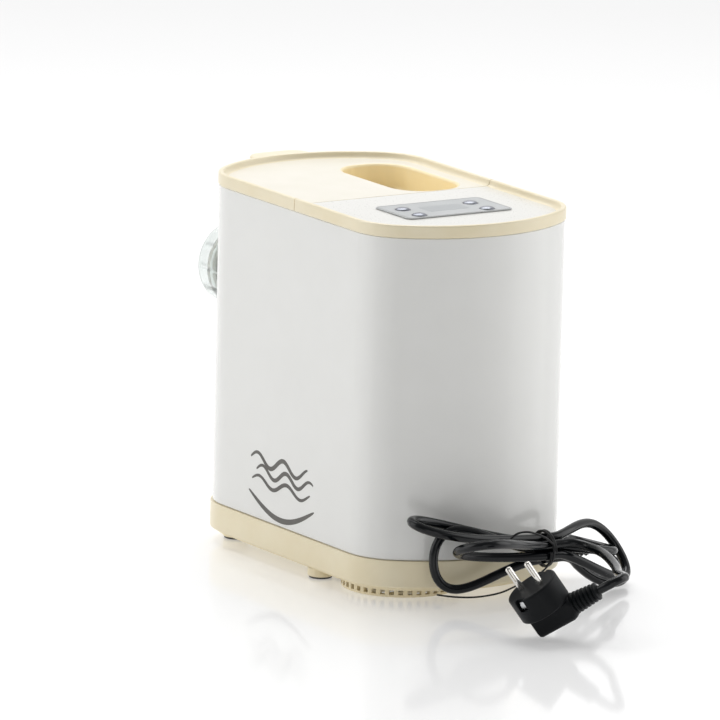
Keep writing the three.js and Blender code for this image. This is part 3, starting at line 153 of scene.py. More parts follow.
# Control panel
OVERLAY_PLACE = (-4, 65)
OVERLAY_SIZE = (90, 49)
OVERLAY_CORNER = 5
OVERLAY_BOTTOM = 272.8
OVERLAY_TOP = 273.5
OVERLAY_EDGE = 0.25
BORDER_INSET = 1.1
BORDER_WIDTH = 0.7
BORDER_SINK = 0.1
BORDER_RISE = 0.05
DISPLAY_SIZE = (34, 18)
DISPLAY_CORNER = 2
DISPLAY_SINK = 0.1
DISPLAY_RISE = 0.05
BUTTON_RADIUS = 5.6
BUTTON_HOLE = 5.9
BUTTON_TOP = 275.3
BUTTON_FOOT = 268.3
# Depths under the radius, with heights from the top
BUTTON_DOME = [(0, -1.9), (0.15, -1.55), (0.6, -1.1), (1.344, -0.68), (2.52, -0.35), (3.92, -0.1), (5.152, 0)]
BUTTON_PLACES = [(27, 58.5), (27, 81), (-31, 58.5), (-31, 81)]

# Extruder at the front
SCREW_HEIGHT = 183
COLLAR_RADIUS = 34
COLLAR_BORE = 24.3
COLLAR_FRONT = -155
COLLAR_REAR = -139
COLLAR_EDGE = 1.2
NUT_RADIUS = 31
NUT_BORE = 28
NUT_REAR = -166
NUT_FRONT = -217
NUT_MOUTH = 20
NUT_SEAT = -201.6
NUT_FLANGE = 4.4
NUT_EDGE = 1
NUT_STEPS = 256
NUT_GRIPS = 12
NUT_GRIP_DEPTH = 0.9
NUT_GRIP_POWER = 4
NUT_PLAIN = 4
NUT_GRIP_START = 6
DIE_RADIUS = 26.5
DIE_FRONT = -201.3
DIE_REAR = -196.3
DIE_EDGE = 0.4
DIE_HOLE = 2.6
DIE_CIRCLE = 11
DIE_HOLES = 6

# Mains lead: strain relief, routes and the formula of the hank
RELIEF_TURN = math.radians(153.2)
RELIEF_MIDDLE = (-42, 88.5)
RELIEF_HEIGHT = 21.5
RELIEF_SURFACE = 44.8
RELIEF_REACH = 22.6
RELIEF_ROOT = 6.6
RELIEF_TIP = 4.6
RELIEF_RIBS = 6
RELIEF_START = 2.4
# Depths under the radius, with ways along: in millimetres, or for a rib in pitches
RELIEF_NECK = [(2, -4), (1.8, 0), (-1.2, 0), (-1.2, 1.6)]
RELIEF_RIB = [(0.9, 0), (0, 0.25), (0, 0.6), (0.9, 0.8)]
RELIEF_LIP = [(0.2, -0.4), (0.8, 0)]
LEAD_RADIUS = 3.4
LEAD_GAP = 0.5
LEAD_STEPS = 8
LEAD_SIDES = 8
LEAD_ROUTE = [
    (-114.2, 129.2, 16),
    (-117, 137.5, 11),
    (-115.3, 146.9, 7),
    (-108.7, 154.2, 5),
    (-99.4, 157.3, 4.6),
    (-87, 159, 7.6),
    (-75, 161, 14),
    (-64, 163.5, 22),
    (-56, 166.2, 28.6),
    (-48.5, 167, 31.1),
]
PLUG_ROUTE = [
    (-48.5, 174.3, 43),
    (-54.6, 177.5, 42.2),
    (-58.6, 184.5, 41),
    (-59.2, 198, 40.4),
    (-54, 216, 40.6),
    (-43, 243, 40.6),
    (-28.5, 269.5, 42),
    (-14.2, 298.8, 46.8),
    (-10.6, 301.6, 47.2),
    (-6.2, 302.9, 46.5),
    (-2, 302.5, 44.9),
]
LOOP_STEPS = 24
WAIST = (-35.5, 167, 39)
WAIST_HALF = 6
STRAND_PITCH = 7.9
STRAND_TURNS = {"top": 90, "upper_near": 30, "lower_near": -30, "bottom": -90, "upper_far": 150}
TIP_EASE = 1.4
LOOP_ENDS = [
    ("bottom", "middle", 1),
    ("middle", "upper_far", -1),
    ("upper_far", "top", 1),
    ("top", "lower_near", -1),
    ("lower_near", "upper_near", 1),
]
LOOP_TIPS = [(82, -16, 0), (-54, -22, -12), (106, -4, 22), (-68, -20, -18), (82, 20, 14)]
LOOP_OPENINGS = [(0, 1, -24), (-7, 20, 0), (-3, -14.5, 3), (4, -11, 15), (4, -22, -6)]
LOOP_EASES = [0.8, 0.4, 0.4, 0.3, 0.5]
HANK_STEPS = 3

# The wire that ties the hank
TIE_RADIUS = 12.9
TIE_WIRE = 0.9
TIE_TURNS = 3
TIE_TURN_STEPS = 28
TIE_MIDDLE = -32
TIE_HALF = 1.9
TIE_SWAY = 0.6
TIE_SWAY_RATE = 1.37
TIE_ROUTE_STEPS = 6
TIE_ARCH_SHARE = 0.85
TIE_TAIL_SHARE = 0.75
TIE_ARCH = [
    (-31.5, 178.8, 44.5),
    (-24, 182, 50),
    (-15, 183, 54.4),
    (-6.1, 183, 56.9),
    (1.5, 182, 56.2),
    (6, 180, 52.2),
]
TIE_TAIL = [
    (-31.5, 177.5, 31.5),
    (-20.9, 182, 26),
    (-6.8, 185, 21.9),
    (7, 188, 18.8),
    (20.2, 190, 16.2),
    (39.7, 190, 15.2),
    (57.2, 188, 16.6),
    (71.2, 186, 19.2),
]

# Plug
PLUG_PLACE = (43.6, 266, 39.8)
PLUG_PINS_ALONG = (0.545, -0.185, 0.818)
PLUG_ARM_ALONG = (-0.581, 0.62, 0.527)
PLUG_RADIUS = 19.5
PLUG_DEPTH = 20
PLUG_EDGE = 1.6
PLUG_ARM_DEPTH = 27
# Places along the arm, each with half the width and the corner radius
PLUG_SECTIONS = [
    (-14, 7.3, 3),
    (-13.2, 8.8, 3.6),
    (-11.6, 9.5, 4),
    (15, 9.5, 5),
    (17.5, 8.9, 6),
    (19, 8, 6.8),
]
PLUG_BOOT_START = 18
PLUG_BOOT_END = 40
PLUG_BOOT_RADIUS = 6.8
PLUG_BOOT_TAPER = 1.9
PLUG_BOOT_SINK = 0.4
PLUG_RIBS = 7
PLUG_RIB = [(1.3, 0), (0.2, 0.2), (0, 0.35), (0.1, 0.65), (1.3, 0.8)]
PLUG_LIP = [(1.6, -0.6), (2.4, 0)]
PIN_RADIUS = 2.4
PIN_LENGTH = 19
PIN_EASE = 1.6
PIN_TIP = 0.6
PIN_SPACING = 19
PIN_TURN = math.radians(-27)
PIN_SLOT = 0.7
PIN_SLOT_FOOT = 7
NOTCH_WIDTH = 7.4
NOTCH_DEPTH = 3.4
NOTCH_LENGTH = 9
CLIP_WIDTH = 4.4
CLIP_THICKNESS = 0.8
CLIP_LENGTH = 6
CLIP_SETBACK = 2.4
CLIP_SINK = 0.2
CLIP_BOW = 0.9
CLIP_STEPS = 10
EARTH_HOLE_RADIUS = 2.6
EARTH_HOLE_DEPTH = 8
EARTH_HOLE_OFFSET = 10
EARTH_SIDES = (1, -1)

# The plain drawing on the side: noodle strands over a shallow bowl
SIDE = BODY_HALF_WIDTH - SHELL_INSET
INK_RISE = 0.12
NOODLES = [
    {"from": -48, "to": 30, "height": 76, "wave": 4.5, "turns": 2.2, "width": 3.4},
    {"from": -40, "to": 38, "height": 68, "wave": 4, "turns": 2.4, "width": 3.2},
    {"from": -46, "to": 34, "height": 60, "wave": 3.6, "turns": 2.1, "width": 3},
]
BOWL_FROM = -50
BOWL_TO = 40
BOWL_HEIGHT = 51
BOWL_DEPTH = 15
BOWL_WIDTH = 4.2
BOWL_TAPER = 0.2
NOODLE_TAPER = 0.35
TAPER_POWER = 0.5
INK_STEPS = 60

# Fineness of the round pieces and plates, and the angle past which an edge stays sharp
ROUND_STEPS = 64
SMALL_STEPS = 32
PLATE_STEPS = 8
LEAST_CORNER = 0.1
LEAST_SPACING = 1e-6
SHARP_ANGLE = math.radians(32)

# How level a painted face is, and how close to its height
LEVEL = 0.99
CLOSE = 0.2

# Depth of a surface's moulded or brushed grain
GRAIN_DEPTH = 0.1

# Stage: directions point away from the object, sizes and distances are in metres
FLOOR_SIZE = 30
# The sky goes from the first strength to the second towards its dark side
SKY_DARK_SIDE = (0.46, 0.73, 0.5)
SKY_RANGE = (-0.3, 0.9)
SKY_STRENGTHS = (0.85, 0.19)
# Direction, distance, size and watts
LIGHTS = {
    "right": ((-0.85, 0.45, 0.35), 2.2, (1.6, 1.8), 13),
    "left": ((0.9, -0.35, 0.4), 2.2, (1.6, 1.8), 12),
    "top": ((-0.15, -0.45, 0.88), 2.0, (1.6, 1.6), 26),
    "fill": ((0.3, 0.93, 0.12), 2.2, (1.6, 0.5), 2.8),
}


def frame_point(point):
    x, y, z = point
    return Vector((x, y - MIDDLE, z)) * MM


# Materials


def shader_of(name):
    material = bpy.data.materials.new(name)
    material.use_nodes = True
    return material, material.node_tree, material.node_tree.nodes["Principled BSDF"]


def noise_node(tree, scale, detail=3, stretch=(1, 1, 1)):
    place = tree.nodes.new("ShaderNodeTexCoord")
    mapping = tree.nodes.new("ShaderNodeMapping")
    mapping.inputs["Scale"].default_value = stretch
    noise = tree.nodes.new("ShaderNodeTexNoise")
    noise.inputs["Scale"].default_value = scale
    noise.inputs["Detail"].default_value = detail
    tree.links.new(place.outputs["Object"], mapping.inputs["Vector"])
    tree.links.new(mapping.outputs["Vector"], noise.inputs["Vector"])
    return noise


def ramp_node(tree, source, low, high, start=0.35, end=0.65):
    ramp = tree.nodes.new("ShaderNodeValToRGB")
    ramp.color_ramp.elements[0].position = start
    ramp.color_ramp.elements[0].color = (*low, 1)
    ramp.color_ramp.elements[1].position = end
    ramp.color_ramp.elements[1].color = (*high, 1)
    tree.links.new(source, ramp.inputs["Fac"])
    return ramp


def range_node(tree, source, low, high):
    change = tree.nodes.new("ShaderNodeMapRange")
    change.inputs["To Min"].default_value = low
    change.inputs["To Max"].default_value = high
    tree.links.new(source, change.inputs["Value"])
    return change


def bump_node(tree, source, strength, distance):
    bump = tree.nodes.new("ShaderNodeBump")
    bump.inputs["Strength"].default_value = strength
    bump.inputs["Distance"].default_value = distance
    tree.links.new(source, bump.inputs["Height"])
    return bump


def surface(name, low, high, roughness, scale=30, grain=900, bump=0.05, stretch=(1, 1, 1), **sockets):
    """A surface whose colour and gloss vary a little, with a fine moulded or brushed grain."""
    material, tree, shader = shader_of(name)
    cloud = noise_node(tree, scale)
    fine = noise_node(tree, grain, 2, stretch)
    ramp = ramp_node(tree, cloud.outputs["Fac"], low, high)
    gloss = range_node(tree, fine.outputs["Fac"], *roughness)
    relief = bump_node(tree, fine.outputs["Fac"], bump, GRAIN_DEPTH * MM)
    tree.links.new(ramp.outputs["Color"], shader.inputs["Base Color"])
    tree.links.new(gloss.outputs["Result"], shader.inputs["Roughness"])
    tree.links.new(relief.outputs["Normal"], shader.inputs["Normal"])
    for socket, value in sockets.items():
        shader.inputs[socket.replace("_", " ")].default_value = value
    return material


WHITE = surface("white_shell", (0.812, 0.812, 0.788), (0.824, 0.824, 0.801), (0.21, 0.25), Coat_Weight=0.4)
CREAM = surface("cream_base", (0.85, 0.75, 0.52), (0.88, 0.79, 0.57), (0.28, 0.36), Coat_Weight=0.15)
PALE = surface("cream_cover", (0.87, 0.77, 0.54), (0.9, 0.81, 0.6), (0.28, 0.36), Coat_Weight=0.15)
LID_FACE = surface("lid_face", (0.86, 0.82, 0.71), (0.89, 0.85, 0.75), (0.28, 0.34), Coat_Weight=0.2)
# Painted light: the well's wall is a brighter, more saturated cream than the lid and glows a little, standing
# in for light that the thin wall lets through
WELL = surface("well_wall", (0.93, 0.79, 0.49), (0.95, 0.82, 0.54), (0.28, 0.36), Coat_Weight=0.15,
               Emission_Color=(0.93, 0.8, 0.5, 1), Emission_Strength=0.05)
DECK_FACE = surface("deck_face", (0.81, 0.805, 0.765), (0.822, 0.815, 0.776), (0.26, 0.3), Coat_Weight=0.3)
PANEL = surface("panel_film", (0.44, 0.455, 0.46), (0.48, 0.495, 0.5), (0.38, 0.46), grain=2500, Metallic=0.2)
BORDER = surface("panel_border", (0.3, 0.3, 0.29), (0.34, 0.34, 0.33), (0.4, 0.5), grain=2500)
DISPLAY = surface("display", (0.37, 0.39, 0.4), (0.4, 0.42, 0.43), (0.3, 0.36), bump=0.01, Metallic=0.2)
BUTTON = surface("button_metal", (0.2, 0.21, 0.24), (0.26, 0.27, 0.3), (0.3, 0.38), grain=1500, Metallic=0.95)
PRINT = surface("print_ink", (0.1, 0.095, 0.085), (0.13, 0.125, 0.11), (0.4, 0.5))
CORD = surface("cord_sheath", (0.002, 0.003, 0.004), (0.004, 0.005, 0.006), (0.13, 0.17), bump=0.005,
               Specular_IOR_Level=0.32)
PLUG = surface("plug_black", (0.002, 0.003, 0.004), (0.004, 0.005, 0.006), (0.42, 0.5), grain=1800,
               Specular_IOR_Level=0.16)
WIRE = surface("tie_wire", (0.005, 0.005, 0.005), (0.009, 0.009, 0.01), (0.35, 0.45), grain=1500,
               Specular_IOR_Level=0.3)
NICKEL = surface("nickel", (0.72, 0.7, 0.66), (0.8, 0.78, 0.74), (0.12, 0.22), stretch=(1, 1, 6), Metallic=1)
PAD = surface("rubber_pad", (0.05, 0.048, 0.045), (0.07, 0.067, 0.06), (0.6, 0.75), bump=0.2)
CLEAR = surface("clear_plastic", (0.8, 0.85, 0.83), (0.84, 0.88, 0.86), (0.06, 0.12), bump=0.02,
                Transmission_Weight=0.9, IOR=1.49)
STEEL = surface("steel", (0.5, 0.51, 0.52), (0.58, 0.59, 0.6), (0.3, 0.42), stretch=(1, 8, 1), Metallic=1)
ALLOY = surface("cast_alloy", (0.5, 0.51, 0.52), (0.6, 0.61, 0.62), (0.45, 0.6), grain=700, bump=0.3,
                Metallic=1)
NYLON = surface("nylon", (0.76, 0.73, 0.65), (0.8, 0.77, 0.69), (0.42, 0.52), bump=0.1)
BRONZE = surface("bronze", (0.42, 0.26, 0.09), (0.5, 0.32, 0.12), (0.35, 0.5), grain=1500, bump=0.2,
                 Metallic=1)
COPPER = surface("copper_wire", (0.45, 0.16, 0.06), (0.6, 0.25, 0.1), (0.25, 0.4), grain=600, bump=0.6,
                 stretch=(1, 0.05, 1), Metallic=0.9)
BOARD = surface("circuit_board", (0.02, 0.1, 0.035), (0.04, 0.16, 0.06), (0.3, 0.5), scale=220, grain=500,
                bump=0.3)
BLACK = surface("black_plastic", (0.012, 0.012, 0.013), (0.02, 0.02, 0.022), (0.35, 0.5), bump=0.15)
RUBBER = surface("soft_rubber", (0.04, 0.04, 0.04), (0.06, 0.06, 0.06), (0.65, 0.8), bump=0.2)
SEAL = surface("silicone_seal", (0.62, 0.6, 0.55), (0.68, 0.66, 0.6), (0.5, 0.6), bump=0.1)
# The photograph is cut out on near white, so the floor glows a little
FLOOR = surface("floor", (0.8, 0.8, 0.8), (0.81, 0.81, 0.81), (0.08, 0.1), scale=2, bump=0.0,
                Emission_Color=(1, 1, 1, 1), Emission_Strength=0.25)


# Meshes


def finished(mesh, name, material):
    bmesh.ops.recalc_face_normals(mesh, faces=mesh.faces)
    data = bpy.data.meshes.new(name)
    mesh.to_mesh(data)
    mesh.free()
    data.materials.append(material)
    piece = bpy.data.objects.new(name, data)
    bpy.context.scene.collection.objects.link(piece)
    smoothed(piece)
    return piece


def smoothed(piece):
    piece.data.shade_smooth()
    piece.data.set_sharp_from_angle(angle=SHARP_ANGLE)
    weigh = piece.modifiers.new("weigh", "WEIGHTED_NORMAL")
    weigh.keep_sharp = True


def lofted(name, loops, material, ring=False, place=None):
    """A closed mesh through loops of equally many points; a ring joins its last loop to its first."""
    mesh = bmesh.new()
    turn = place or Matrix.Identity(4)
    rows = [[mesh.verts.new(frame_point(turn @ Vector(point))) for point in loop] for loop in loops]
    pairs = list(zip(rows, rows[1:]))
    if ring:
        pairs.append((rows[-1], rows[0]))
    for low, high in pairs:
        for i in range(len(low)):
            j = (i + 1) % len(low)
            mesh.faces.new((low[i], low[j], high[j], high[i]))
    if not ring:
        mesh.faces.new(rows[0])
        mesh.faces.new(rows[-1])
    return finished(mesh, name, material)


def circle(radius, height, steps=ROUND_STEPS):
    turns = [2 * math.pi * i / steps for i in range(steps)]
    return [(radius * math.cos(turn), radius * math.sin(turn), height) for turn in turns]


def turned(name, profile, material, place, ring=False, steps=ROUND_STEPS):
    """A round piece about the local Z axis of a place, from radii and heights."""
    loops = [circle(radius, height, steps) for radius, height in profile]
    return lofted(name, loops, material, ring, place)


def along_y(height):
    """A place whose Z axis runs along Y, on the extruder's axis."""
    return Matrix.Translation((0, 0, height)) @ Matrix.Rotation(-math.pi / 2, 4, "X")


def upright_at(x, y):
    return Matrix.Translation((x, y, 0))


def block(name, low, high, material, place=None):
    corners = [(low[0], low[1]), (high[0], low[1]), (high[0], high[1]), (low[0], high[1])]
    loops = [[(x, y, z) for x, y in corners] for z in (low[2], high[2])]
    return lofted(name, loops, material, place=place)


def combined(piece, other, operation):
    """Joins, cuts or trims a piece with another, which is used up."""
    step = piece.modifiers.new("shape", "BOOLEAN")
    step.operation = operation
    step.object = other
    step.solver = "EXACT"
    other.modifiers.clear()
    for modifier in list(piece.modifiers):
        if modifier.type == "WEIGHTED_NORMAL":
            piece.modifiers.remove(modifier)
    made = bpy.data.meshes.new_from_object(piece.evaluated_get(bpy.context.evaluated_depsgraph_get()))
    piece.modifiers.clear()
    piece.data = made
    bpy.data.objects.remove(other)
    smoothed(piece)
    return piece


def drilled(piece, radius, core, place, steps=SMALL_STEPS):
    """Cuts a round hole with a core that runs between two heights of a place."""
    profile = [(radius, height) for height in core]
    hole = turned("hole", profile, piece.data.materials[0], place, steps=steps)
    return combined(piece, hole, "DIFFERENCE")


def quarter(start, end, starts_flat=False):
    """Levels of a quarter round between two levels, without its ends."""
    levels = []
    for i in range(1, QUARTER_STEPS):
        turn = math.pi / 2 * i / QUARTER_STEPS
        inwards, upwards = 1 - math.cos(turn), math.sin(turn)
        if starts_flat:
            inwards, upwards = upwards, inwards
        levels.append((start[0] + (end[0] - start[0]) * inwards, start[1] + (end[1] - start[1]) * upwards))
    return levels


def rounded(start, end, starts_flat=False):
    return [start, *quarter(start, end, starts_flat), end]


def stepped(radius, start, steps, pitch=1):
    """Part of a round profile, from depths under a radius and ways along from a start."""
    return [(radius - depth, start + way * pitch) for depth, way in steps]


def outline_points(inset):
    """The body's outline in plan, drawn in by an inset."""
    corner = CORNER_RADIUS - inset
    depth = END_DEPTH - inset
    sideways = BODY_HALF_WIDTH - CORNER_RADIUS
    straight = BODY_HALF_LENGTH - END_DEPTH
    end_radius = (sideways**2 + depth**2 - corner**2) / (2 * (depth - corner))
    end_middle = straight + depth - end_radius
    meeting = math.atan2(straight - end_middle, sideways)
    half_turn = math.pi
    arcs = [
        (sideways, straight, corner, 0, meeting, CORNER_STEPS),
        (0, end_middle, end_radius, meeting, half_turn - meeting, END_STEPS),
        (-sideways, straight, corner, half_turn - meeting, half_turn, CORNER_STEPS),
        (-sideways, -straight, corner, half_turn, half_turn + meeting, CORNER_STEPS),
        (0, -end_middle, end_radius, half_turn + meeting, 2 * half_turn - meeting, END_STEPS),
        (sideways, -straight, corner, 2 * half_turn - meeting, 2 * half_turn, CORNER_STEPS),
    ]
    points = []
    for x, y, radius, start, end, steps in arcs:
        inner = x == 0
        for i in range(1 if inner else 0, steps if inner else steps + 1):
            turn = start + (end - start) * i / steps
            points.append((x + radius * math.cos(turn), y + radius * math.sin(turn)))
    return points


def outline_loops(levels):
    return [[(x, y, height) for x, y in outline_points(inset)] for inset, height in levels]


def rectangle_points(middle, size, corner, inset=0, steps=PLATE_STEPS):
    across, along = size[0] / 2 - inset, size[1] / 2 - inset
    radius = max(corner - inset, LEAST_CORNER)
    points = []
    for number, (side, end) in enumerate([(1, 1), (-1, 1), (-1, -1), (1, -1)]):
        for i in range(steps + 1):
            turn = math.pi / 2 * (number + i / steps)
            x = middle[0] + side * (across - radius) + radius * math.cos(turn)
            y = middle[1] + end * (along - radius) + radius * math.sin(turn)
            points.append((x, y))
    return points


def plate_loops(middle, size, corner, levels, steps=PLATE_STEPS):
    """Loops of a rectangle with round corners, from insets and heights."""
    loops = []
    for inset, height in levels:
        outline = rectangle_points(middle, size, corner, inset, steps)
        loops.append([(x, y, height) for x, y in outline])
    return loops


def well_loops(levels):
    middle = (WELL_X, (WELL_FRONT + WELL_REAR) / 2)
    return plate_loops(middle, (WELL_WIDTH, WELL_REAR - WELL_FRONT), WELL_CORNER, levels, WELL_STEPS)


def show(piece, body, slot, *nodes):
    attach(piece, body)
    if nodes:
        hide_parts(*nodes)
    return piece


# Camera


def photograph_camera():
    back, right = Vector(CAMERA_BACK).normalized(), Vector(CAMERA_RIGHT).normalized()
    up = back.cross(right).normalized()
    right = up.cross(back)
    data = bpy.data.cameras.new("photograph")
    data.lens = LENS
    data.sensor_width = SENSOR
    data.clip_end = CAMERA_CLIP
    camera = bpy.data.objects.new("photograph", data)
    bpy.context.scene.collection.objects.link(camera)
    turn = Matrix((right, up, back)).transposed().to_4x4()
    camera.matrix_world = Matrix.Translation(frame_point(AIM) + back * CAMERA_DISTANCE * MM) @ turn
    bpy.context.scene.camera = camera


# Mains lead


def strand_point(name, side, margin=0):
    turn = math.radians(STRAND_TURNS.get(name, 0))
    reach = 0 if name == "middle" else STRAND_PITCH
    x = WAIST[0] + side * (WAIST_HALF + margin)
    return Vector((x, WAIST[1] + reach * math.cos(turn), WAIST[2] + reach * math.sin(turn)))


def loop_point(number, share):
    """A point of a loop of the hank: out from the waist to its tip and back."""
    start, end, side = LOOP_ENDS[number]
    turn = math.pi * share
    out = max(0.0, math.sin(turn))
    opening = math.sin(2 * turn) * out ** LOOP_EASES[number]
    point = strand_point(start, side).lerp(strand_point(end, side), (1 - math.cos(turn)) / 2)
    grows = Vector((out, out**TIP_EASE, out**TIP_EASE))
    return point + Vector(LOOP_TIPS[number]) * grows + Vector(LOOP_OPENINGS[number]) * opening


def hank_points():
    first, last = LOOP_ENDS[0], LOOP_ENDS[-1]
    points = [strand_point(first[0], -first[2])]
    for number in range(len(LOOP_ENDS)):
        points += [loop_point(number, i / LOOP_STEPS) for i in range(LOOP_STEPS + 1)]
    points.append(strand_point(last[1], -last[2]))
    return points


def relief_point(reach):
    x = RELIEF_MIDDLE[0] + reach * math.cos(RELIEF_TURN)
    y = RELIEF_MIDDLE[1] + reach * math.sin(RELIEF_TURN)
    return Vector((x, y, RELIEF_HEIGHT))


def plug_place():
    """The plug's own frame: X along its arm, Z along its pins, the middle of its face at the origin."""
    pins = Vector(PLUG_PINS_ALONG).normalized()
    aside = pins.cross(Vector(PLUG_ARM_ALONG)).normalized()
    arm = aside.cross(pins)
    return Matrix.Translation(PLUG_PLACE) @ Matrix((arm, aside, pins)).transposed().to_4x4()


def boot_point(reach):
    return plug_place() @ Vector((reach, 0, -PLUG_ARM_DEPTH))


def knots_of(points):
    """The centripetal spacing of a curve through points."""
    knots = [0.0]
    for before, after in zip(points, points[1:]):
        knots.append(knots[-1] + max((after - before).length, LEAST_SPACING) ** 0.5)
    return knots


def smooth_route(points, steps):
    """A smooth curve through points, with steps from each to the next."""
    ends = [2 * points[0] - points[1], *points, 2 * points[-1] - points[-2]]
    route = []
    for i in range(1, len(ends) - 2):
        near = ends[i - 1 : i + 3]
        knots = knots_of(near)
        for step in range(steps):
            at = knots[1] + (knots[2] - knots[1]) * step / steps
            route.append(blended(near, knots, at))
    return route + [points[-1]]


def blended(points, knots, at):
    first = [mixed(points[i], points[i + 1], knots[i], knots[i + 1], at) for i in range(3)]
    second = [mixed(first[i], first[i + 1], knots[i], knots[i + 2], at) for i in range(2)]
    return mixed(second[0], second[1], knots[1], knots[2], at)


def mixed(start, end, low, high, at):
    return start.lerp(end, (at - low) / (high - low)) if high > low else start.copy()


def wire(name, points, radius, material, sides=4):
    data = bpy.data.curves.new(name, "CURVE")
    data.dimensions = "3D"
    data.bevel_depth = radius * MM
    data.bevel_resolution = sides
    data.use_fill_caps = True
    spline = data.splines.new("POLY")
    spline.points.add(len(points) - 1)
    for point, place in zip(spline.points, points):
        point.co = (*frame_point(place), 1)
    data.materials.append(material)
    piece = bpy.data.objects.new(name, data)
    bpy.context.scene.collection.objects.link(piece)
    return piece


def whole_route():
    relief_end = RELIEF_SURFACE + RELIEF_REACH + LEAD_GAP
    lead = [relief_point(relief_end), relief_point(relief_end + 2 * LEAD_RADIUS)]
    lead += [Vector(point) for point in LEAD_ROUTE]
    plug = [Vector(point) for point in PLUG_ROUTE]
    plug += [boot_point(PLUG_BOOT_END + LEAD_GAP + 2 * LEAD_RADIUS), boot_point(PLUG_BOOT_END + LEAD_GAP)]
    hank = hank_points()
    points = smooth_route(lead + hank[:1], LEAD_STEPS)
    points += smooth_route(hank, HANK_STEPS)[1:]
    return points + smooth_route(hank[-1:] + plug, LEAD_STEPS)[1:]


def tie_points():
    points = []
    steps = TIE_TURNS * TIE_TURN_STEPS
    for i in range(steps + 1):
        share = i / steps
        turn = 2 * math.pi * TIE_TURNS * share
        x = TIE_MIDDLE + TIE_HALF * (2 * share - 1) + TIE_SWAY * math.sin(TIE_SWAY_RATE * turn)
        points.append((x, WAIST[1] + TIE_RADIUS * math.cos(turn), WAIST[2] + TIE_RADIUS * math.sin(turn)))
    return points


def tie_wire(name, route, share):
    points = smooth_route([Vector(point) for point in route], TIE_ROUTE_STEPS)
    return show(wire(name, points, TIE_WIRE * share, WIRE), "housing", "black_plastic")


def strain_relief():
    turn = Matrix.Rotation(RELIEF_TURN, 4, "Z") @ Matrix.Rotation(math.pi / 2, 4, "Y")
    place = Matrix.Translation((*RELIEF_MIDDLE, RELIEF_HEIGHT)) @ turn
    root, tip = RELIEF_SURFACE + GAP, RELIEF_SURFACE + RELIEF_REACH
    start = root + RELIEF_START
    pitch = (tip - start) / RELIEF_RIBS
    profile = stepped(RELIEF_ROOT, root, RELIEF_NECK)
    for i in range(RELIEF_RIBS):
        radius = RELIEF_ROOT + (RELIEF_TIP - RELIEF_ROOT) * i / RELIEF_RIBS
        profile += stepped(radius, start + pitch * i, RELIEF_RIB, pitch)
    profile += stepped(RELIEF_TIP, tip, RELIEF_LIP)
    return turned("strain_relief_boot", profile, PLUG, place, steps=SMALL_STEPS)


def plug_face():
    inner = PLUG_RADIUS - PLUG_EDGE
    profile = rounded((inner, -PLUG_DEPTH), (PLUG_RADIUS, PLUG_EDGE - PLUG_DEPTH), True)
    profile += rounded((PLUG_RADIUS, -PLUG_EDGE), (inner, 0))
    face = turned("plug_face", profile, PLUG, plug_place())
    for side in EARTH_SIDES:
        low = (PLUG_RADIUS - NOTCH_DEPTH, -NOTCH_WIDTH / 2, -NOTCH_LENGTH)
        high = (PLUG_RADIUS + PAST, NOTCH_WIDTH / 2, PAST)
        face = combined(face, block("notch", low, high, PLUG, earth_place(side)), "DIFFERENCE")
    place = earth_place(EARTH_SIDES[0]) @ Matrix.Translation((EARTH_HOLE_OFFSET, 0, 0))
    return drilled(face, EARTH_HOLE_RADIUS, (-EARTH_HOLE_DEPTH, PAST), place)


def earth_place(side):
    """The plug's frame turned so that X points at one of the earth clips."""
    return plug_place() @ Matrix.Rotation(PIN_TURN + side * math.pi / 2, 4, "Z")


def earth_clip(name, side):
    """A thin strip in the notch, bowed outwards to spring against the socket."""
    inner, outer = [], []
    for i in range(CLIP_STEPS + 1):
        share = i / CLIP_STEPS
        x = PLUG_RADIUS - NOTCH_DEPTH - CLIP_SINK + CLIP_BOW * math.sin(math.pi * share)
        z = -CLIP_SETBACK - CLIP_LENGTH * share
        inner.append((x, z))
        outer.append((x + CLIP_THICKNESS, z))
    outline = inner + outer[::-1]
    loops = [[(x, y, z) for x, z in outline] for y in (-CLIP_WIDTH / 2, CLIP_WIDTH / 2)]
    return show(lofted(name, loops, STEEL, place=earth_place(side)), "housing", "nickel")


def plug_shell():
    """The plug's back: a rounded box that narrows into the boot."""
    loops = []
    for x, half, corner in PLUG_SECTIONS:
        outline = rectangle_points((0, -PLUG_ARM_DEPTH), (2 * half, 2 * half), corner)
        loops.append([(x, y, z) for y, z in outline])
    return lofted("plug_shell", loops, PLUG, place=plug_place())


def plug_boot():
    along_arm = Matrix.Translation((0, 0, -PLUG_ARM_DEPTH)) @ Matrix.Rotation(math.pi / 2, 4, "Y")
    pitch = (PLUG_BOOT_END - PLUG_BOOT_START) / PLUG_RIBS
    profile = []
    for i in range(PLUG_RIBS):
        radius = PLUG_BOOT_RADIUS + PLUG_BOOT_TAPER * (1 - i / PLUG_RIBS) - PLUG_BOOT_SINK
        profile += stepped(radius, PLUG_BOOT_START + pitch * i, PLUG_RIB, pitch)
    profile += stepped(PLUG_BOOT_RADIUS, PLUG_BOOT_END, PLUG_LIP)
    return turned("plug_boot", profile, PLUG, plug_place() @ along_arm, steps=SMALL_STEPS)


def plug_pin(name, side):
    reach = side * PIN_SPACING / 2
    middle = (reach * math.cos(PIN_TURN), reach * math.sin(PIN_TURN), 0)
    place = plug_place() @ Matrix.Translation(middle)
    tip = PIN_LENGTH
    profile = [(PIN_RADIUS, GAP), *rounded((PIN_RADIUS, tip - PIN_EASE), (PIN_TIP, tip))]
    pin = turned(name, profile, NICKEL, place, steps=SMALL_STEPS)
    low = (-PIN_SLOT / 2, -PIN_RADIUS - PAST, PIN_SLOT_FOOT)
    high = (PIN_SLOT / 2, PIN_RADIUS + PAST, tip + PAST)
    return combined(pin, block("slot", low, high, NICKEL, place), "DIFFERENCE")


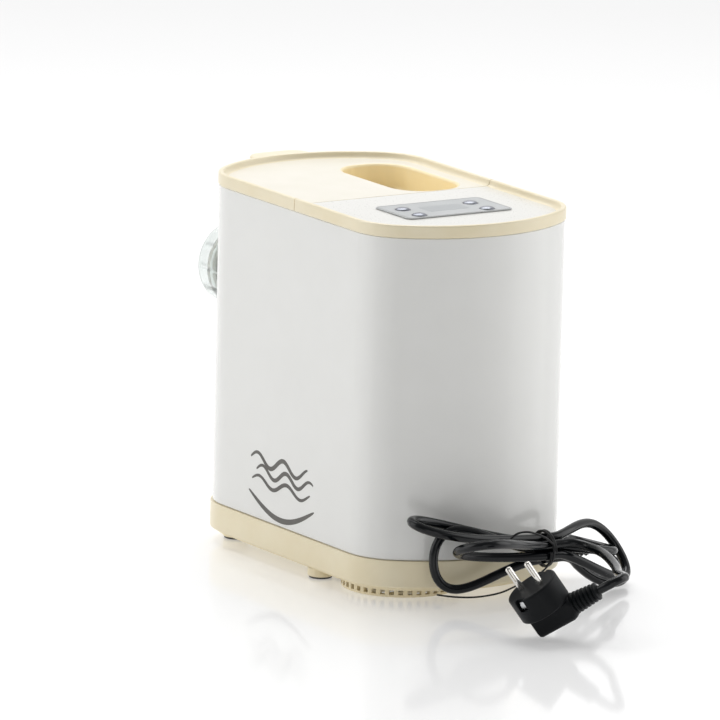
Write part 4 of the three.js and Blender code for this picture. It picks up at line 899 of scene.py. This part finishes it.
def mains_lead():
    points = whole_route()
    lead = wire("mains_lead", points, LEAD_RADIUS, CORD, LEAD_SIDES)
    show(lead, "housing", "black_cord", "cord_lead", "cord_hank", "cord_plug_lead")
    relief = show(strain_relief(), "housing", "black_plastic", "strain_relief")
    wraps = show(wire("tie_wraps", tie_points(), TIE_WIRE, WIRE), "housing", "black_plastic", "cord_tie")
    arch = tie_wire("tie_arch", TIE_ARCH, TIE_ARCH_SHARE)
    tail = tie_wire("tie_tail", TIE_TAIL, TIE_TAIL_SHARE)
    face = show(plug_face(), "housing", "black_plastic", "plug_body")
    shell = show(plug_shell(), "housing", "black_plastic")
    boot = show(plug_boot(), "housing", "black_plastic")
    left = show(plug_pin("pin_left", -1), "housing", "nickel", "plug_pin_left")
    right = show(plug_pin("pin_right", 1), "housing", "nickel", "plug_pin_right")
    clips = [earth_clip(f"earth_clip_{number}", side) for number, side in enumerate(EARTH_SIDES, 1)]


# Housing


def body_shell():
    low, high = BASE_SEAM, BAND_BOTTOM - GAP
    levels = [
        (SHELL_INSET + SHELL_EDGE, low),
        (SHELL_INSET, low + SHELL_EDGE),
        (SHELL_INSET, high - SHELL_EDGE),
        (SHELL_INSET + SHELL_EDGE, high),
        (SHELL_INNER, high),
        (SHELL_INNER, low),
    ]
    shell = lofted("shell", outline_loops(levels), WHITE, ring=True)
    shell = drilled(shell, COLLAR_RADIUS + GAP, MOUTH_CORE, along_y(SCREW_HEIGHT), ROUND_STEPS)
    return show(shell, "housing", "white_plastic", "body_shell")


def base_tray():
    top = BASE_SEAM - GAP
    outer = -BASE_PROUD
    inner = BASE_WALL - BASE_PROUD
    levels = [
        (FLOOR_INSET, FLOOR_BOTTOM),
        (FLOOR_INSET, SKIRT_BOTTOM),
        *rounded((outer + BASE_EDGE, SKIRT_BOTTOM), (outer, SKIRT_BOTTOM + BASE_EDGE), True),
        *rounded((outer, top - SHELL_EDGE), (outer + SHELL_EDGE, top)),
        (inner, top),
        (inner, FLOOR_TOP),
    ]
    tray = lofted("base", outline_loops(levels), CREAM)
    tray = drilled(tray, VENT_HOLE, VENT_CORE, upright_at(*VENT_PLACE), ROUND_STEPS)
    return show(tray, "housing", "cream_plastic", "base_tray")


def foot(name, place):
    cup = [(FOOT_RADIUS - FOOT_EDGE, FOOT_PAD), (FOOT_RADIUS, FOOT_PAD + FOOT_EDGE), (FOOT_RADIUS, FOOT_TOP)]
    piece = turned(name + "_cup", cup, CREAM, upright_at(*place))
    show(piece, "housing", "cream_plastic", name)
    outer = FOOT_RADIUS - PAD_INSET
    pad = [(FOOT_RADIUS - PAD_TOE, 0), (outer, PAD_EDGE), (outer, FOOT_PAD)]
    show(turned(name + "_pad", pad, PAD, upright_at(*place)), "housing", "rubber")


# Lid and deck


def pan_levels():
    return [
        (LIP_INNER, CEILING),
        (LIP_INNER, BAND_BOTTOM - LIP_DEPTH),
        (LIP_OUTER, BAND_BOTTOM - LIP_DEPTH),
        (LIP_OUTER, BAND_BOTTOM),
        (SHELL_EDGE, BAND_BOTTOM),
        (0, BAND_BOTTOM + SHELL_EDGE),
        *rounded((0, RIM_TOP - RIM_ROUND), (RIM_ROUND, RIM_TOP)),
        *rounded((RIM_WIDTH - RIM_ROUND, RIM_TOP), (RIM_WIDTH, RIM_TOP - RIM_ROUND), True),
        *rounded((RIM_WIDTH, FACE + RIM_FILLET), (RIM_WIDTH + RIM_FILLET, FACE)),
    ]


def half_space(front, rear):
    return block("half", (-CUT_SIDE, front, CUT_LOW), (CUT_SIDE, rear, CUT_HIGH), PALE)


def lid_tab():
    middle = (0, -BODY_HALF_LENGTH + TAB_CORNER)
    size = (TAB_WIDTH, 2 * (TAB_REACH + TAB_CORNER))
    bottom = TAB_TOP - TAB_THICKNESS
    levels = [
        *rounded((TAB_EDGE, bottom), (0, bottom + TAB_EDGE), True),
        *rounded((0, TAB_TOP - TAB_EDGE), (TAB_EDGE, TAB_TOP)),
    ]
    tab = lofted("tab", plate_loops(middle, size, TAB_CORNER, levels), PALE)
    inside = [(RIM_WIDTH - RIM_ROUND, height) for height in (CUT_LOW, CUT_HIGH)]
    return combined(tab, lofted("tab_room", outline_loops(inside), PALE), "DIFFERENCE")


def lid_rib():
    """The ring under the lid that holds the seal."""
    outer = [(RIB_INSET, RIB_BOTTOM), (RIB_INSET, CEILING + LAP)]
    inner = [(RIB_INSET + RIB_THICKNESS, RIB_BOTTOM - PAST), (RIB_INSET + RIB_THICKNESS, CEILING + PAST)]
    ring = combined(lofted("rib", outline_loops(outer), PALE), half_space(-CUT_END, RIB_REAR), "INTERSECT")
    room = lofted("rib_room", outline_loops(inner), PALE)
    room = combined(room, half_space(-CUT_END, RIB_REAR - RIB_THICKNESS), "INTERSECT")
    return combined(ring, room, "DIFFERENCE")


def well_cup():
    bottom = FACE - WELL_DEPTH - WELL_WALL
    levels = [
        (WELL_FILLET - 2 * WELL_WALL, bottom),
        (-WELL_WALL, bottom + WELL_FILLET),
        (-WELL_WALL, CEILING + LAP),
    ]
    return lofted("cup", well_loops(levels), PALE)


def well_room():
    bottom = FACE - WELL_DEPTH
    levels = [
        *rounded((WELL_FILLET, bottom), (0, bottom + WELL_FILLET), True),
        *rounded((0, FACE - WELL_ROUND), (-WELL_ROUND, FACE)),
        (-WELL_ROUND, WELL_CORE_TOP),
    ]
    return lofted("room", well_loops(levels), PALE)


def on_face(face):
    """Whether a face lies on the flat top inside the rim."""
    return face.normal.z > LEVEL and abs(face.center.z - FACE * MM) < CLOSE * MM


def in_well(face):
    """Whether a face lies inside the filling well."""
    middle = frame_point((WELL_X, (WELL_FRONT + WELL_REAR) / 2, 0))
    across = (WELL_WIDTH / 2 + WELL_ROUND) * MM
    along = ((WELL_REAR - WELL_FRONT) / 2 + WELL_ROUND) * MM
    place = face.center
    inside = abs(place.x - middle.x) < across and abs(place.y - middle.y) < along
    return inside and (FACE - WELL_DEPTH - CLOSE) * MM < place.z < (FACE - CLOSE) * MM


def paint(piece, material, chosen):
    """Gives the chosen faces of a piece a surface of their own."""
    piece.data.materials.append(material)
    slot = len(piece.data.materials) - 1
    for face in piece.data.polygons:
        if chosen(face):
            face.material_index = slot


def lid():
    piece = lofted("cover_lid", outline_loops(pan_levels()), PALE)
    piece = combined(piece, half_space(-CUT_END, SEAM - SEAM_GAP / 2), "INTERSECT")
    for other in (well_cup(), lid_rib(), lid_tab()):
        piece = combined(piece, other, "UNION")
    piece = combined(piece, well_room(), "DIFFERENCE")
    pitch = (WELL_REAR - WELL_FRONT) / SLOT_COUNT
    bottom = FACE - WELL_DEPTH
    for i in range(SLOT_COUNT):
        middle = WELL_FRONT + pitch * (i + 0.5)
        low = (WELL_X - SLOT_LENGTH / 2, middle - SLOT_WIDTH / 2, bottom - WELL_WALL - LAP)
        high = (WELL_X + SLOT_LENGTH / 2, middle + SLOT_WIDTH / 2, bottom + LAP)
        piece = combined(piece, block("drip", low, high, PALE), "DIFFERENCE")
    paint(piece, LID_FACE, on_face)
    # Painted light: the faces inside the well get the brighter, glowing surface
    paint(piece, WELL, in_well)
    return show(piece, "lid", "pale_cream", "lid")


def rear_deck():
    piece = lofted("cover_deck", outline_loops(pan_levels()), PALE)
    piece = combined(piece, half_space(SEAM + SEAM_GAP / 2, CUT_END), "INTERSECT")
    for x, y in BUTTON_PLACES:
        piece = drilled(piece, BUTTON_HOLE, DECK_CORE, upright_at(x, y))
    paint(piece, DECK_FACE, on_face)
    return show(piece, "housing", "pale_cream", "rear_deck")


# Control panel


def overlay():
    edge = OVERLAY_EDGE
    levels = [(0, OVERLAY_BOTTOM), (0, OVERLAY_TOP - edge), (edge, OVERLAY_TOP)]
    film = lofted("panel", plate_loops(OVERLAY_PLACE, OVERLAY_SIZE, OVERLAY_CORNER, levels), PANEL)
    for x, y in BUTTON_PLACES:
        film = drilled(film, BUTTON_HOLE, PANEL_CORE, upright_at(x, y))
    return show(film, "housing", "silver_panel", "control_overlay")


def border():
    """The printed line round the panel, a hair above the film."""
    outer, inner = BORDER_INSET, BORDER_INSET + BORDER_WIDTH
    low, high = OVERLAY_TOP - BORDER_SINK, OVERLAY_TOP + BORDER_RISE
    levels = [(outer, low), (outer, high), (inner, high), (inner, low)]
    loops = plate_loops(OVERLAY_PLACE, OVERLAY_SIZE, OVERLAY_CORNER, levels)
    return show(lofted("panel_border", loops, BORDER, ring=True), "housing", "silver_panel")


def display():
    levels = [(0, OVERLAY_TOP - DISPLAY_SINK), (0, OVERLAY_TOP), (DISPLAY_RISE, OVERLAY_TOP + DISPLAY_RISE)]
    loops = plate_loops(OVERLAY_PLACE, DISPLAY_SIZE, DISPLAY_CORNER, levels)
    return show(lofted("window", loops, DISPLAY), "housing", "display", "display_window")


def button(number, place):
    dome = [(BUTTON_RADIUS, BUTTON_FOOT), *stepped(BUTTON_RADIUS, BUTTON_TOP, BUTTON_DOME)]
    piece = turned(f"button_cap_{number}", dome, BUTTON, upright_at(*place), steps=SMALL_STEPS)
    return show(piece, f"button_{number}", "button_metal", f"button_{number}")


# Extruder


def nut_loop(radius, along, grips):
    points = []
    for i in range(NUT_STEPS):
        turn = 2 * math.pi * i / NUT_STEPS
        cut = max(0.0, math.cos(NUT_GRIPS * turn)) ** NUT_GRIP_POWER * NUT_GRIP_DEPTH if grips else 0
        points.append(((radius - cut) * math.cos(turn), (radius - cut) * math.sin(turn), along))
    return points


def extruder_nut():
    edge = NUT_EDGE
    stations = [
        (NUT_BORE, NUT_REAR, False),
        (NUT_RADIUS - edge, NUT_REAR, False),
        (NUT_RADIUS, NUT_REAR - edge, False),
        (NUT_RADIUS, NUT_REAR - NUT_PLAIN, False),
        (NUT_RADIUS, NUT_REAR - NUT_GRIP_START, True),
        (NUT_RADIUS, NUT_FRONT + NUT_GRIP_START, True),
        (NUT_RADIUS, NUT_FRONT + NUT_PLAIN, False),
        (NUT_RADIUS, NUT_FRONT + edge, False),
        (NUT_RADIUS - edge, NUT_FRONT, False),
        (NUT_BORE + edge, NUT_FRONT, False),
        (NUT_BORE, NUT_FRONT + edge, False),
        (NUT_BORE, NUT_SEAT - NUT_FLANGE, False),
        (NUT_MOUTH, NUT_SEAT - NUT_FLANGE, False),
        (NUT_MOUTH, NUT_SEAT, False),
        (NUT_BORE, NUT_SEAT, False),
    ]
    loops = [nut_loop(*station) for station in stations]
    piece = lofted("nut", loops, CLEAR, ring=True, place=along_y(SCREW_HEIGHT))
    return show(piece, "nut", "clear_plastic", "extruder_nut")


def collar():
    edge = COLLAR_EDGE
    profile = [(COLLAR_BORE, COLLAR_REAR), (COLLAR_RADIUS, COLLAR_REAR)]
    profile += rounded((COLLAR_RADIUS, COLLAR_FRONT + edge), (COLLAR_RADIUS - edge, COLLAR_FRONT))
    profile += [(COLLAR_BORE, COLLAR_FRONT)]
    piece = turned("collar", profile, PALE, along_y(SCREW_HEIGHT), ring=True)
    return show(piece, "housing", "pale_cream", "front_collar")


def die():
    profile = [(DIE_RADIUS - DIE_EDGE, DIE_FRONT), (DIE_RADIUS, DIE_FRONT + DIE_EDGE), (DIE_RADIUS, DIE_REAR)]
    piece = turned("die", profile, NYLON, along_y(SCREW_HEIGHT))
    middles = [(0, 0)]
    for i in range(DIE_HOLES):
        turn = 2 * math.pi * i / DIE_HOLES
        middles.append((DIE_CIRCLE * math.cos(turn), DIE_CIRCLE * math.sin(turn)))
    for x, z in middles:
        place = Matrix.Translation((x, 0, z)) @ along_y(SCREW_HEIGHT)
        piece = drilled(piece, DIE_HOLE, DIE_CORE, place)
    return show(piece, "housing", "nylon", "die_disc")


# Drawing on the side


def ink_ribbon(name, points, widths):
    """A flat band of ink on the body's side, along points in Y and Z."""
    loops = []
    for i, (y, z) in enumerate(points):
        before, after = points[max(i - 1, 0)], points[min(i + 1, len(points) - 1)]
        along = Vector((after[0] - before[0], after[1] - before[1])).normalized()
        half = widths[i] / 2
        edges = [(y - along.y * half, z + along.x * half), (y + along.y * half, z - along.x * half)]
        low = [(SIDE, *place) for place in edges]
        high = [(SIDE + INK_RISE, *place) for place in reversed(edges)]
        loops.append(low + high)
    return show(lofted(name, loops, PRINT), "housing", "black_plastic")


def tapered(width, share, least):
    return width * (least + (1 - least) * math.sin(math.pi * share) ** TAPER_POWER)


def noodle(number, strand):
    points, widths = [], []
    for i in range(INK_STEPS + 1):
        share = i / INK_STEPS
        y = strand["from"] + (strand["to"] - strand["from"]) * share
        z = strand["height"] + strand["wave"] * math.sin(2 * math.pi * strand["turns"] * share)
        points.append((y, z))
        widths.append(tapered(strand["width"], share, NOODLE_TAPER))
    return ink_ribbon(f"ink_noodle_{number}", points, widths)


def ink_bowl():
    points, widths = [], []
    for i in range(INK_STEPS + 1):
        share = i / INK_STEPS
        y = BOWL_FROM + (BOWL_TO - BOWL_FROM) * share
        points.append((y, BOWL_HEIGHT - BOWL_DEPTH * math.sin(math.pi * share)))
        widths.append(tapered(BOWL_WIDTH, share, BOWL_TAPER))
    return ink_ribbon("ink_bowl", points, widths)


# Materials of the carried-over nodes

CARRIED = {
    "base_vent_ring": CREAM,
    "base_screw_1": STEEL,
    "base_screw_2": STEEL,
    "base_screw_3": STEEL,
    "base_screw_4": STEEL,
    "mixing_bowl": CLEAR,
    "lid_seal": SEAL,
    "lid_magnet": STEEL,
    "lid_sensor": BLACK,
    "control_board": BOARD,
    "mixing_screw": NYLON,
    "extruder_barrel": CLEAR,
    "shaft_seal": RUBBER,
    "output_shaft": STEEL,
    "output_gear": NYLON,
    "front_bush": BRONZE,
    "rear_bush": BRONZE,
    "support_frame": ALLOY,
    "gearbox_rear_plate": ALLOY,
    "motor_cradle": STEEL,
    "intermediate_gear": NYLON,
    "intermediate_axle": STEEL,
    "motor_pinion": STEEL,
    "motor_rotor": STEEL,
    "motor_stator": ALLOY,
    "field_winding_left": COPPER,
    "field_winding_right": COPPER,
    "motor_front_bracket": ALLOY,
    "motor_rear_bracket": ALLOY,
    "brush_left": BLACK,
    "brush_right": BLACK,
    "motor_fan": NYLON,
    "mains_board": BOARD,
    "filter_capacitor": BLACK,
    "transformer": STEEL,
}


def finish_carried_nodes():
    for name, material in CARRIED.items():
        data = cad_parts[name].data
        data.materials.clear()
        data.materials.append(material)


# Stage


def floor():
    data = bpy.data.meshes.new("floor")
    corners = [(x * FLOOR_SIZE, y * FLOOR_SIZE, 0) for x, y in ((-1, -1), (1, -1), (1, 1), (-1, 1))]
    data.from_pydata(corners, [], [(0, 1, 2, 3)])
    data.materials.append(FLOOR)
    piece = bpy.data.objects.new("floor", data)
    bpy.context.scene.collection.objects.link(piece)


def area_light(name, direction, distance, size, power):
    data = bpy.data.lights.new(name, "AREA")
    data.shape = "RECTANGLE"
    data.size, data.size_y = size
    data.energy = power
    light = bpy.data.objects.new(name, data)
    bpy.context.scene.collection.objects.link(light)
    away = Vector(direction).normalized()
    light.location = frame_point(AIM) + away * distance
    light.rotation_euler = away.to_track_quat("Z", "Y").to_euler()


def sky():
    """A light tent: bright behind and beside the object, dimmer on the photographer's side."""
    world = bpy.data.worlds.new("tent")
    bpy.context.scene.world = world
    world.use_nodes = True
    tree = world.node_tree
    background = tree.nodes["Background"]
    background.inputs["Color"].default_value = (1, 1, 1, 1)
    place = tree.nodes.new("ShaderNodeTexCoord")
    dot = tree.nodes.new("ShaderNodeVectorMath")
    dot.operation = "DOT_PRODUCT"
    dot.inputs[1].default_value = SKY_DARK_SIDE
    change = tree.nodes.new("ShaderNodeMapRange")
    change.inputs["From Min"].default_value, change.inputs["From Max"].default_value = SKY_RANGE
    change.inputs["To Min"].default_value, change.inputs["To Max"].default_value = SKY_STRENGTHS
    tree.links.new(place.outputs["Generated"], dot.inputs[0])
    tree.links.new(dot.outputs["Value"], change.inputs["Value"])
    tree.links.new(change.outputs["Result"], background.inputs["Strength"])


def stage():
    bpy.context.scene.view_settings.view_transform = "Standard"
    floor()
    sky()
    for name, values in LIGHTS.items():
        area_light(name, *values)


photograph_camera()
mains_lead()
body_shell()
base_tray()
for foot_name, foot_place in FOOT_PLACES.items():
    foot(foot_name, foot_place)
lid()
rear_deck()
overlay()
border()
display()
for button_number, button_place in enumerate(BUTTON_PLACES, 1):
    button(button_number, button_place)
extruder_nut()
collar()
die()
for noodle_number, noodle_strand in enumerate(NOODLES, 1):
    noodle(noodle_number, noodle_strand)
ink_bowl()
finish_carried_nodes()
stage()
